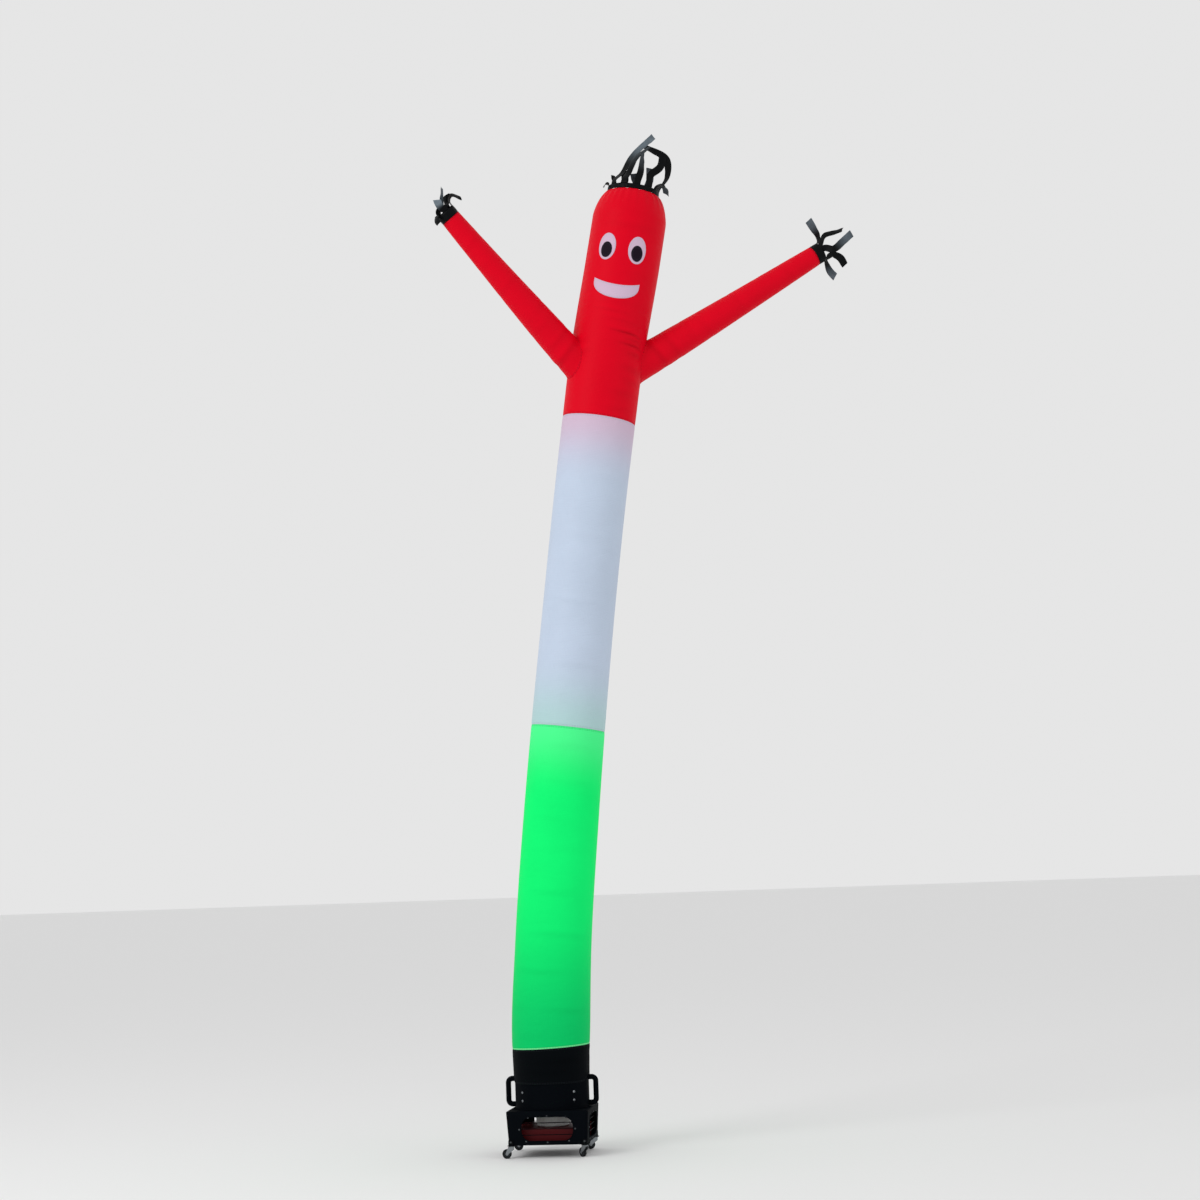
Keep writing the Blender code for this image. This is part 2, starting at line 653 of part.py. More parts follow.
def make_face():
    for side, sign in (("left", -1), ("right", 1)):
        at = FACE_AT + sign * EYE_SPREAD
        lift = 2 * GAP
        patch(f"eye_white_{side}", oval(at, EYE_HEIGHT, EYE_SIZE), 8, 8, lift, PATCH_WHITE)
        lift += PATCH + GAP
        patch(f"pupil_{side}", oval(at, PUPIL_HEIGHT, PUPIL_SIZE), 6, 6, lift, BLACK_CLOTH)
    patch("mouth", smile, 16, 4, 2 * GAP, PATCH_WHITE)


# ---- The blower --------------------------------------------------------------------------------
def tapered_box(name, bottom_width, top_width, bottom, top, corner, edge, collection):
    bm = bmesh.new()
    bmesh.ops.create_cube(bm, size=1.0)
    for vert in bm.verts:
        width = top_width if vert.co.z > 0 else bottom_width
        vert.co = (vert.co.x * width, vert.co.y * width, top if vert.co.z > 0 else bottom)
    upright = [e for e in bm.edges if abs(e.verts[0].co.z - e.verts[1].co.z) > (top - bottom) / 2]
    bmesh.ops.bevel(bm, geom=upright, offset=corner, segments=3, profile=0.5, affect="EDGES")
    if edge:
        level = [e for e in bm.edges if abs(e.verts[0].co.z - e.verts[1].co.z) < 1e-5]
        bmesh.ops.bevel(bm, geom=level, offset=edge, segments=2, profile=0.5, affect="EDGES")
    return mesh_object(name, bm, collection)


def make_base():
    base = tapered_box("blower_base", BASE_WIDTH_BOTTOM, BASE_WIDTH_TOP, BASE_BOTTOM, BASE_TOP,
                       BASE_CORNER, BASE_EDGE, PARTS)
    hollow = tapered_box("base_hollow", BASE_WIDTH_BOTTOM - 2 * WALL, BASE_WIDTH_TOP - 2 * WALL,
                         BASE_BOTTOM + WALL, BASE_TOP - WALL, BASE_CORNER - WALL, 0.0, CUTTERS)
    cut(base, hollow)
    for name, turn in (("windows_front_back", 0.0), ("windows_sides", math.pi / 2)):
        outline = rounded_box(*WINDOW, WINDOW_CORNER, steps=4)
        window = flat_curve(name, [outline], 2 * BASE_WIDTH_TOP, CUTTERS)
        window.matrix_basis = (Matrix.Translation((0.0, 0.0, WINDOW_HEIGHT))
                               @ Matrix.Rotation(turn, 4, "Z") @ Matrix.Rotation(math.pi / 2, 4, "X"))
        cut(base, as_mesh(window))
    bm = bmesh.new()
    bmesh.ops.create_cone(bm, cap_ends=True, segments=32, radius1=THROAT_RADIUS,
                          radius2=THROAT_RADIUS, depth=THROAT_CUT)
    throat = mesh_object("throat", bm, CUTTERS)
    throat.location = (0.0, 0.0, BASE_TOP)
    cut(base, throat)
    round_shade(base)
    colour(base, HOUSING)


def make_guards():
    half_width, half_height = GUARD[0] / 2 - GUARD_RIM, GUARD[1] / 2 - GUARD_RIM
    pitch = 2 * half_height / (GUARD_BARS + 1)
    outlines = [rounded_box(*GUARD, GUARD_CORNER, steps=4)]
    for row in range(GUARD_BARS + 1):
        low = -half_height + row * pitch + GUARD_BAR / 2
        high = low + pitch - GUARD_BAR
        far = max(abs(low), abs(high))
        corner = GUARD_CORNER - GUARD_RIM
        inset = max(0.0, far - (half_height - corner))
        reach = half_width - (corner - math.sqrt(max(0.0, corner**2 - inset**2)))
        outlines.append([(-reach, low), (reach, low), (reach, high), (-reach, high)])
    for name, turn in (("front", 0.0), ("right", 90.0), ("back", 180.0), ("left", 270.0)):
        guard = flat_curve(f"guard_{name}", outlines, GUARD_SHEET, PARTS)
        guard.matrix_basis = (Matrix.Rotation(math.radians(turn), 4, "Z")
                              @ Matrix.Translation((0.0, -GUARD_DEPTH, WINDOW_HEIGHT))
                              @ Matrix.Rotation(math.pi / 2, 4, "X"))
        colour(guard, BRACKET_BLACK)


def make_drum():
    inner = DRUM_RADIUS - DRUM_WALL
    low = BASE_TOP + GAP
    foot_radius, foot_height, chamfer = DRUM_FOOT
    profile = (
        (inner, DRUM_TOP), (DRUM_RADIUS - DRUM_EDGE, DRUM_TOP), (DRUM_RADIUS, DRUM_TOP - DRUM_EDGE),
        (DRUM_RADIUS, low + foot_height + chamfer), (foot_radius, low + foot_height),
        (foot_radius, low), (inner, low),
    )
    drum = turned("blower_drum", profile, 32, PARTS, HOUSING)
    round_shade(drum)


def make_loops():
    """The carrying loops: bars that leave the drum, run down beside it and come back to it."""
    start = DRUM_RADIUS + GAP
    steps = 4
    points = [(start, LOOP_HIGH)]
    corners = ((LOOP_HIGH - LOOP_BEND, math.pi / 2, 0.0), (LOOP_LOW + LOOP_BEND, 0.0, -math.pi / 2))
    for height, first, last in corners:
        for step in range(steps + 1):
            angle = first + (last - first) * step / steps
            points.append((LOOP_REACH - LOOP_BEND + LOOP_BEND * math.cos(angle),
                           height + LOOP_BEND * math.sin(angle)))
    points.append((start, LOOP_LOW))
    for side, sign in (("right", 1), ("left", -1)):
        curve = bpy.data.curves.new(f"handle_{side}", "CURVE")
        curve.dimensions = "3D"
        curve.bevel_depth = LOOP_BAR
        curve.bevel_resolution = 2
        curve.use_fill_caps = True
        spline = curve.splines.new("POLY")
        spline.points.add(len(points) - 1)
        for point, (x, z) in zip(spline.points, points):
            point.co = (sign * x, 0.0, z, 1.0)
        handle = add_object(f"handle_{side}", curve, PARTS)
        colour(handle, HOUSING)


def make_motor():
    floor = BASE_BOTTOM + WALL + GAP
    half, top, sheet = TRAY_WIDTH / 2, TRAY_TOP, TRAY_SHEET
    outline = [(-half, floor), (-half + sheet, floor), (-half + sheet, top - sheet),
               (half - sheet, top - sheet), (half - sheet, floor), (half, floor), (half, top),
               (-half, top)]
    tray = flat_curve("motor_tray", [outline], TRAY_LENGTH, PARTS)
    tray.matrix_basis = Matrix(((0, 0, 1, 0), (1, 0, 0, 0), (0, 1, 0, 0), (0, 0, 0, 1)))
    colour(tray, TRAY_RED)

    low = TRAY_TOP + GAP
    bm = bmesh.new()
    verts = [bm.verts.new((r, 0.0, low + z)) for r, z in MOTOR]
    for before, after in zip(verts, verts[1:]):
        bm.edges.new((before, after))
    motor = mesh_object("motor", bm, PARTS)
    screw = motor.modifiers.new("turn", "SCREW")
    screw.steps = 20
    screw.render_steps = 20
    screw.use_merge_vertices = True
    screw.merge_threshold = 0.00001
    colour(motor, MOTOR_GREY)
    round_shade(motor)
    return low + BEARING_FLOOR


def make_impeller(shaft_bottom):
    """Hub, shaft and pitched blades, joined into one piece that turns about Z."""
    hub_radius, low, high = FAN_HUB
    bm = bmesh.new()
    bmesh.ops.create_cone(bm, cap_ends=True, segments=20, radius1=hub_radius, radius2=hub_radius,
                          depth=high - low, matrix=Matrix.Translation((0, 0, (low + high) / 2)))
    fan = mesh_object("impeller", bm, PARTS)
    bm = bmesh.new()
    foot = shaft_bottom + GAP
    bmesh.ops.create_cone(bm, cap_ends=True, segments=16, radius1=SHAFT_RADIUS,
                          radius2=SHAFT_RADIUS, depth=low + FAN_ROOT - foot,
                          matrix=Matrix.Translation((0, 0, (low + FAN_ROOT + foot) / 2)))
    tools = [mesh_object("fan_shaft", bm, CUTTERS)]
    inside = hub_radius - FAN_ROOT
    for blade in range(FAN_BLADES):
        bm = bmesh.new()
        bmesh.ops.create_cube(bm, size=1.0)
        for vert in bm.verts:
            outer = vert.co.x > 0
            chord = FAN_CHORD * (1.0 if outer else FAN_ROOT_CHORD)
            vert.co = (FAN_RADIUS if outer else inside, vert.co.y * chord, vert.co.z * FAN_SHEET)
        tool = mesh_object(f"fan_blade_{blade}", bm, CUTTERS)
        tool.matrix_basis = (Matrix.Translation((0, 0, (low + high) / 2))
                             @ Matrix.Rotation(2 * math.pi * blade / FAN_BLADES, 4, "Z")
                             @ Matrix.Rotation(FAN_PITCH, 4, "X"))
        tools.append(tool)
    join(fan, tools)
    colour(fan, FAN_BLACK)


def block(name, low, high):
    """A plain block between two corners, to be joined to another shape."""
    bm = bmesh.new()
    bmesh.ops.create_cube(bm, size=1.0)
    for vert in bm.verts:
        vert.co = [a + (b - a) * (c + 0.5) for a, b, c in zip(low, high, vert.co)]
    return mesh_object(name, bm, CUTTERS)


def join(obj, tools):
    for tool in tools:
        cut(obj, tool)
        obj.modifiers[-1].operation = "UNION"


# ---- The casters -------------------------------------------------------------------------------
def make_bracket_mesh():
    """A pressed angle: a plate under the base with the stem's hole, and a tab up its face."""
    width, sheet = CASTER_PLATE
    top = BASE_BOTTOM - GAP
    half = width / 2
    outline = rounded_box(width, width, CASTER_PLATE_CORNER, steps=1)
    hole = circle(STEM_HOLE, 12)
    plate = flat_curve("bracket_plate", [outline, hole], sheet, CUTTERS)
    plate.matrix_basis = Matrix.Translation((0.0, 0.0, top - sheet / 2))
    plate = as_mesh(plate)
    tab_width, tab_height = BRACKET_TAB
    outer = -BRACKET_REACH - sheet
    tab = block("bracket_tab", (-tab_width / 2, outer, top - sheet),
                (tab_width / 2, -BRACKET_REACH, top - sheet + tab_height))
    lip = block("bracket_lip", (-tab_width / 2, outer + sheet / 2, top - sheet),
                (tab_width / 2, sheet - half, top))
    place = plate.matrix_basis.copy()
    join(plate, [tab, lip])
    mesh = evaluated_mesh(plate)
    mesh.transform(place)
    plate.hide_render = True
    plate.display_type = "WIRE"
    return mesh


def make_fork_mesh():
    """Crown, stem, two legs and the wheel's pin, joined; the stem is at the origin, trail on +X."""
    inside, sheet = FORK_INSIDE, FORK_SHEET
    plate_bottom = BASE_BOTTOM - GAP - CASTER_PLATE[1]
    bm = bmesh.new()
    stem_top = BASE_BOTTOM - 2 * GAP
    bmesh.ops.create_cone(bm, cap_ends=True, segments=10, radius1=STEM_RADIUS,
                          radius2=STEM_RADIUS, depth=stem_top - FORK_TOP + JOIN,
                          matrix=Matrix.Translation((0, 0, (stem_top + FORK_TOP - JOIN) / 2)))
    fork = mesh_object("fork_stem", bm, CUTTERS)
    bm = bmesh.new()
    race_top = plate_bottom - GAP
    race_radius, race_top_radius = FORK_RACE
    bmesh.ops.create_cone(bm, cap_ends=True, segments=14, radius1=race_radius,
                          radius2=race_top_radius, depth=race_top - FORK_TOP + JOIN,
                          matrix=Matrix.Translation((0, 0, (race_top + FORK_TOP - JOIN) / 2)))
    tools = [mesh_object("fork_race", bm, CUTTERS)]
    half = inside / 2 + sheet
    back, front, crown_sheet = FORK_CROWN
    tools.append(block("fork_crown", (back, -half, FORK_TOP - crown_sheet), (front, half, FORK_TOP)))
    heel, drop = FORK_HEEL
    leg = [(back, FORK_TOP), (heel, FORK_TOP - drop), (CASTER_TRAIL - FORK_FOOT, AXLE_HEIGHT)]
    leg += [(CASTER_TRAIL + FORK_FOOT * math.cos(a), AXLE_HEIGHT + FORK_FOOT * math.sin(a))
            for a in (math.radians(d) for d in (225, 270, 315, 360))]
    leg.append((front, FORK_TOP))
    for side, sign in (("near", -1), ("far", 1)):
        piece = flat_curve(f"fork_leg_{side}", [leg], sheet, CUTTERS)
        piece.matrix_basis = (Matrix.Translation((0, sign * (inside + sheet) / 2, 0))
                              @ Matrix.Rotation(math.pi / 2, 4, "X"))
        tools.append(as_mesh(piece))
    bm = bmesh.new()
    place = Matrix.Translation((CASTER_TRAIL, 0, AXLE_HEIGHT)) @ Matrix.Rotation(math.pi / 2, 4, "X")
    bmesh.ops.create_cone(bm, cap_ends=True, segments=10, radius1=PIN_RADIUS, radius2=PIN_RADIUS,
                          depth=2 * (half + PIN_SHOWS), matrix=place)
    tools.append(mesh_object("fork_pin", bm, CUTTERS))
    join(fork, tools)
    mesh = evaluated_mesh(fork)
    fork.hide_render = True
    fork.display_type = "WIRE"
    return mesh


def make_wheel_mesh():
    """A wheel that turns about its own Y axis; one flat of its tread faces straight down."""
    half = WHEEL_WIDTH / 2
    tread = half - WHEEL_SINK
    shoulder, rim = WHEEL_RADIUS - WHEEL_SINK, half - WHEEL_CROWN
    hub, web = WHEEL_HUB
    profile = (
        (WHEEL_BORE, half), (hub, half), (web, tread), (shoulder, rim), (WHEEL_RADIUS, tread),
        (WHEEL_RADIUS, -tread), (shoulder, -rim), (web, -tread), (hub, -half), (WHEEL_BORE, -half),
    )
    wheel = turned("wheel_form", profile, WHEEL_SIDES, CUTTERS, TYRE)
    mesh = evaluated_mesh(wheel)
    wheel.hide_render = True
    wheel.display_type = "WIRE"
    mesh.transform(Matrix.Rotation(math.pi / 2, 4, "X"))
    return mesh


def make_casters():
    bracket_mesh = make_bracket_mesh()
    fork_mesh = make_fork_mesh()
    wheel_mesh = make_wheel_mesh()
    for corner, (x, y), trail in CASTERS:
        bracket = add_object(f"caster_bracket_{corner}", bracket_mesh.copy(), PARTS)
        bracket.location = (x, y, 0.0)
        bracket.rotation_euler = (0.0, 0.0, 0.0 if y < 0 else math.pi)
        colour(bracket, BRACKET_BLACK)
        swivel = add_object(f"swivel_{corner}", None, PARTS)
        swivel.location = (x, y, 0.0)
        swivel.rotation_euler = (0.0, 0.0, math.radians(trail))
        fork = add_object(f"caster_fork_{corner}", fork_mesh.copy(), PARTS)
        fork.parent = swivel
        colour(fork, STEEL)
        wheel = add_object(f"caster_wheel_{corner}", wheel_mesh.copy(), PARTS)
        wheel.parent = swivel
        wheel.location = (CASTER_TRAIL, 0.0, AXLE_HEIGHT)
        colour(wheel, TYRE)


# ---- Everything --------------------------------------------------------------------------------
clear_scene()
PARTS = new_collection("air_dancer")
CUTTERS = new_collection("cutters")
ROOT = bpy.data.objects.new("blower_axis", None)
PARTS.objects.link(ROOT)
ROOT.location = FRAME_SHIFT

make_cuff()
panel("panel_green", seamed_rows(CUFF_SEAM, GREEN_ROWS, GREEN_SEAM), GREEN, (CUFF_SEAM, GREEN_SEAM))
panel("panel_white", seamed_rows(GREEN_SEAM, WHITE_ROWS, WHITE_SEAM), WHITE,
      (GREEN_SEAM, WHITE_SEAM))
red_panel = make_red_panel()
trim = rolled_cloth("arm_trimmer", RED_ROWS, TUBE_SIDES,
                    lambda angle, height: tube_point(angle, height, 2 * GAP), HANDLE_AT, CUTTERS,
                    capped=True)
for arm in ARMS:
    make_arm(*arm, red_panel, trim)
make_face()

crown, crown_aside, crown_back, crown_along = tube_frame(HEAD_TOP)
ribbon_band("hair_streamers", crown + crown_along * BAND_GAP, crown_aside, crown_back, crown_along,
            HEAD_OPENING, HAIR_BAND, HAIR_SIDES, HAIR)
for (side, height, tip, _, tip_radius, _), ribbons in zip(ARMS, (HAND_LEFT, HAND_RIGHT)):
    start, length, across, back, along = arm_frame(height, tip)
    ribbon_band(f"hand_streamers_{side}", start + along * (length + BAND_GAP), across, back, along,
                tip_radius, HAND_BAND, HAND_SIDES, ribbons)

make_base()
make_guards()
make_drum()
make_loops()
bearing_floor = make_motor()
make_impeller(bearing_floor)
make_casters()
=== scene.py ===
"""Looks for an inflatable air dancer: a leaning cloth tube with arms, a face and ribbons, on a blower.

Metres, +Z up, front towards -Y. Every piece is worked out from the blower's axis, which is read
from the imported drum. Angles round the tube start at the side that it leans to and run anticlockwise
seen from above, so the face is near -90 degrees.
"""

import json
import logging
import math
from dataclasses import dataclass
from enum import Enum
from typing import Iterable, Sequence

import bmesh
import bpy
import numpy as np
from mathutils import Matrix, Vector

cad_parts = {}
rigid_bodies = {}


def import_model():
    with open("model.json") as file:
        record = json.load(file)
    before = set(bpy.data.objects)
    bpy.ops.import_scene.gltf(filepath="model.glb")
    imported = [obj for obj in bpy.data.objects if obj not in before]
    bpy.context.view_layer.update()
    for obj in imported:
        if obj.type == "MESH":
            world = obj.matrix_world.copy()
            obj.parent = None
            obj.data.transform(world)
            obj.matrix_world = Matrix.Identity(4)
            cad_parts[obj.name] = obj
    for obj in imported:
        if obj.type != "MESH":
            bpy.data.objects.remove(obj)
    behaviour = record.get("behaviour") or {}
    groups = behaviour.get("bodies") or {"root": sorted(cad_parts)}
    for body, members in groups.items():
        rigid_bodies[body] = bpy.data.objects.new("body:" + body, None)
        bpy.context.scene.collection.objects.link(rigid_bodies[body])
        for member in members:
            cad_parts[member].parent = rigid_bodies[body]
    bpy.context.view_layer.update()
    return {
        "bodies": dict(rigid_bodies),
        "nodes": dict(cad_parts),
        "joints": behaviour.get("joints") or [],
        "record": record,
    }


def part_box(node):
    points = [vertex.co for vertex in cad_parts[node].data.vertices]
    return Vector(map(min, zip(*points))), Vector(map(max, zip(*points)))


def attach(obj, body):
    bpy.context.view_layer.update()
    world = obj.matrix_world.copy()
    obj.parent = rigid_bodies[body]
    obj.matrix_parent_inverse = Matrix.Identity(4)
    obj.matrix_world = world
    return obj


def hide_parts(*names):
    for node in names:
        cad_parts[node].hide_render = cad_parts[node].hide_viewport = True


LOG = logging.getLogger("air_dancer")
Array = np.ndarray
Piece = bpy.types.Object

# The tube leans in one upright plane, which is turned back by this much from straight right
LEAN_TURN = math.radians(7.5)
ASIDE = np.array((math.cos(LEAN_TURN), math.sin(LEAN_TURN), 0.0))
BACK = np.array((-math.sin(LEAN_TURN), math.cos(LEAN_TURN), 0.0))
UP = np.array((0.0, 0.0, 1.0))
EAST = np.array((1.0, 0.0, 0.0))
NORTH = np.array((0.0, 1.0, 0.0))

# Heights of the cuff's hem, the three seams, the shoulder and the head's open top
HEM = 0.415
CUFF_SEAM = 0.620
GREEN_SEAM = 2.480
WHITE_SEAM = 4.330
SHOULDER = 5.564
HEAD_TOP = 5.724
HEAD_OPENING = 0.157  # The radius of the open top
DEEP_FOLD = 0.008  # A fold of this depth gets the whole of its finish's shade
CLOTH = 0.0008  # Thicker than the real 0.1 mm, so that cut edges show
BAND_GAP = 0.0009  # Between a sleeve's edge and the band that is sewn to it
SEAM_ROWS = np.array((0.0, 0.002, 0.005, 0.009, 0.014, 0.020))  # Rows beside a seam, from it
LEAST_STEP = 0.0012  # Closer rows than this are left out
WELD = 2e-6  # Points closer than this are one
LEAST_EDGE = 1e-7  # Shorter edges are dissolved


# ---- Small mathematics -------------------------------------------------------------------------
def unit(vectors: Array) -> Array:
    """Each vector of an array at length one."""
    return vectors / np.linalg.norm(vectors, axis=-1, keepdims=True)


def ease(low: float, high: float, at: Array) -> Array:
    """A smooth step: 0 below low, 1 above high, and 3t^2 - 2t^3 between."""
    t = np.clip((at - low) / (high - low), 0.0, 1.0)
    return t * t * (3 - 2 * t)


def apart(a: Array, b: float) -> Array:
    """The signed turn from angle b to each angle of a, from -pi to pi."""
    return (a - b + math.pi) % math.tau - math.pi


def angles_round(count: int) -> Array:
    """Even angles round a full turn, from 0 to one step before it closes."""
    return np.linspace(0.0, math.tau, count, endpoint=False)


def turn_about_up(angle: float) -> Array:
    """The rows of a turn about Z, anticlockwise seen from above."""
    c, s = math.cos(angle), math.sin(angle)
    return np.array(((c, s, 0.0), (-s, c, 0.0), (0.0, 0.0, 1.0)))


def trough(across: Array) -> Array:
    """A fold's section: a Gaussian trough of depth 1 at 0, with a ridge of height 0.4 at 1.5."""
    return np.exp(-across**2) - 0.4 * np.exp(-((across - 1.5) ** 2))


@dataclass(frozen=True)
class SmoothTable:
    """A table whose columns are read as smooth curves over its first column."""

    rows: tuple[tuple[float, ...], ...]

    def read(self, column: int, at: Array) -> Array:
        """Reads one column.

        Each span is a cubic Hermite curve whose end slopes are the table's own mean slopes.

        Args:
            column: Which column to read.
            at: Values of the first column.

        Returns:
            The column's smooth value at each of them.
        """
        x = np.array([row[0] for row in self.rows])
        y = np.array([row[column] for row in self.rows])
        slope = np.gradient(y, x)
        k = np.clip(np.searchsorted(x, at) - 1, 0, len(x) - 2)
        span = x[k + 1] - x[k]
        t = (at - x[k]) / span
        return (
            (2 * t**3 - 3 * t**2 + 1) * y[k]
            + (t**3 - 2 * t**2 + t) * span * slope[k]
            + (3 * t**2 - 2 * t**3) * y[k + 1]
            + (t**3 - t**2) * span * slope[k + 1]
        )


# ---- Surfaces ----------------------------------------------------------------------------------
@dataclass
class Surface:
    """Points and four-sided faces, with one UV pair a corner and named values a point."""

    points: Array
    faces: Array
    uv: Array
    marks: dict[str, Array]

    def moved(self, turn: Array, place: Array | float = 0.0) -> "Surface":
        """The surface turned by a matrix whose rows are its new X, Y and Z directions, then moved."""
        return Surface(self.points @ turn + place, self.faces, self.uv, self.marks)


def grid(points: Array, round_rows: bool = False, round_columns: bool = False,
         uv: Array | None = None, **marks: Array) -> Surface:
    """A surface from a grid of places.

    Corner (i, j) joins (i, j + 1), (i + 1, j + 1) and (i + 1, j), so it faces along columns x rows.

    Args:
        points: Places, as rows x columns x 3.
        round_rows: Whether the last row joins the first.
        round_columns: Whether the last column joins the first.
        uv: Places on the flat cloth, one more row or column than points where that wraps.
        marks: Named values, as rows x columns.

    Returns:
        The surface.
    """
    rows, columns = points.shape[:2]
    i, j = np.meshgrid(
        np.arange(rows if round_rows else rows - 1),
        np.arange(columns if round_columns else columns - 1),
        indexing="ij",
    )
    i_next, j_next = (i + 1) % rows, (j + 1) % columns
    corners = (i * columns + j, i * columns + j_next, i_next * columns + j_next, i_next * columns + j)
    faces = np.stack(corners, axis=-1).reshape(-1, 4)
    if uv is None:
        flat = np.zeros((len(faces), 4, 2))
    else:
        flat = np.stack((uv[i, j], uv[i, j + 1], uv[i + 1, j + 1], uv[i + 1, j]), axis=2).reshape(-1, 4, 2)
    return Surface(points.reshape(-1, 3), faces, flat, {k: v.ravel() for k, v in marks.items()})


def flat_cloth(width: float, rows: Array, columns: int) -> Array:
    """Places on a cloth laid flat: even steps across its width at every row."""
    return np.stack(np.meshgrid(np.linspace(0.0, width, columns + 1), rows), axis=-1)


def capped(rings: Array) -> Array:
    """Rings of places with a row in the middle of each end one, which closes it as a fan."""
    middles = np.broadcast_to(rings.mean(axis=1, keepdims=True), rings.shape)
    return np.concatenate((middles[:1], rings, middles[-1:]))


def revolved(profile: Sequence[tuple[float, float]], sides: int, closed: bool = False) -> Surface:
    """A profile turned about Z: each (r, z) goes to (r cos a, r sin a, z) for even angles a.

    Args:
        profile: Radii and heights, which climb on the outer side.
        sides: How many angles.
        closed: Whether the profile's end joins its start.

    Returns:
        The surface.
    """
    r, z = np.array(profile, float).T
    angle = angles_round(sides)
    points = (np.outer(r, np.cos(angle)), np.outer(r, np.sin(angle)), np.outer(z, np.ones(sides)))
    return grid(np.stack(points, axis=-1), round_rows=closed, round_columns=True)


def carried(path: Array, section: Array, normal: Array, closed: bool) -> Surface:
    """A section carried along a flat path.

    At each place of the path the section's x runs along tangent x normal and its y along normal.

    Args:
        path: Places in one plane, as n x 3.
        section: The section's outline, anticlockwise, as m x 2.
        normal: The plane's normal.
        closed: Whether the path's end joins its start; otherwise both ends are closed by fans.

    Returns:
        The surface.
    """
    if closed:
        tangent = unit(np.roll(path, -1, axis=0) - np.roll(path, 1, axis=0))
    else:
        tangent = unit(np.gradient(path, axis=0))
    side = np.cross(tangent, normal)
    points = (path[:, None] + section[None, :, :1] * side[:, None]
              + section[None, :, 1:] * normal[None, None])
    return grid(points if closed else capped(points), round_rows=closed, round_columns=True)


def disc(radius: float, sides: int) -> Array:
    """The outline of a circle, as sides x 2."""
    angle = angles_round(sides)
    return radius * np.stack((np.cos(angle), np.sin(angle)), axis=-1)


def round_rectangle(width: float, height: float, radius: float, steps: int = 8) -> Array:
    """The outline of a rectangle whose corners are quarter circles.

    Args:
        width: Its width.
        height: Its height.
        radius: Its corners' radius.
        steps: Steps over each corner.

    Returns:
        The outline, anticlockwise, as n x 2.
    """
    quarter = np.arange(4)[:, None]
    angle = math.pi / 2 * (quarter + np.linspace(0.0, 1.0, steps + 1)[None])
    middle_x = np.array((1, -1, -1, 1))[:, None] * (width / 2 - radius)
    middle_y = np.array((1, 1, -1, -1))[:, None] * (height / 2 - radius)
    x, y = middle_x + radius * np.cos(angle), middle_y + radius * np.sin(angle)
    return np.stack((x.ravel(), y.ravel()), axis=-1)


def prism(outline: Array, low: float, high: float) -> Surface:
    """A closed prism: an outline at two heights, with a fan at either end."""
    rings = [np.column_stack((outline, np.full(len(outline), height))) for height in (low, high)]
    return grid(capped(np.stack(rings)), round_columns=True)


# ---- Finishes ----------------------------------------------------------------------------------
def linear(colour: str) -> tuple[float, float, float, float]:
    """An sRGB hex colour as linear light.

    Args:
        colour: The colour, as #RRGGBB.

    Returns:
        Linear red, green and blue, and an alpha of 1.
    """
    value = np.array([int(colour[k:k + 2], 16) for k in (1, 3, 5)]) / 255
    value = np.where(value <= 0.04045, value / 12.92, ((value + 0.055) / 1.055) ** 2.4)
    return (*value.tolist(), 1.0)


def add_node(tree: bpy.types.NodeTree, kind: str, inputs: dict[str | int, object] | None = None,
             **settings: object) -> bpy.types.Node:
    """Adds a node.

    Args:
        tree: The node tree.
        kind: The node's type name, after ShaderNode.
        inputs: Socket name or number to a value, or to the output socket that is linked to it.
        settings: The node's own settings.

    Returns:
        The node.
    """
    made = tree.nodes.new(f"ShaderNode{kind}")
    for name, value in settings.items():
        setattr(made, name, value)
    for key, value in (inputs or {}).items():
        if isinstance(value, bpy.types.NodeSocket):
            tree.links.new(value, made.inputs[key])
        else:
            made.inputs[key].default_value = value
    return made


@dataclass(frozen=True)
class Finish:
    """A material that is made once and then shared."""

    name: str
    colour: str
    roughness: float = 0.5
    metallic: float = 0.0
    specular: float = 0.5

    def material(self) -> bpy.types.Material:
        """The Blender material, made at its first use.

        Returns:
            The material.
        """
        made = bpy.data.materials.get(self.name)
        if made is None:
            made = bpy.data.materials.new(self.name)
            made.use_nodes = True
            shader = made.node_tree.nodes["Principled BSDF"]
            for socket, value in (("Base Color", linear(self.colour)), ("Roughness", self.roughness),
                                  ("Metallic", self.metallic), ("Specular IOR Level", self.specular)):
                shader.inputs[socket].default_value = value
            self.paint(made.node_tree, shader)
        return made

    def paint(self, tree: bpy.types.NodeTree, shader: bpy.types.Node) -> None:
        """Adds to the material's nodes what the surface shows beyond its plain values."""


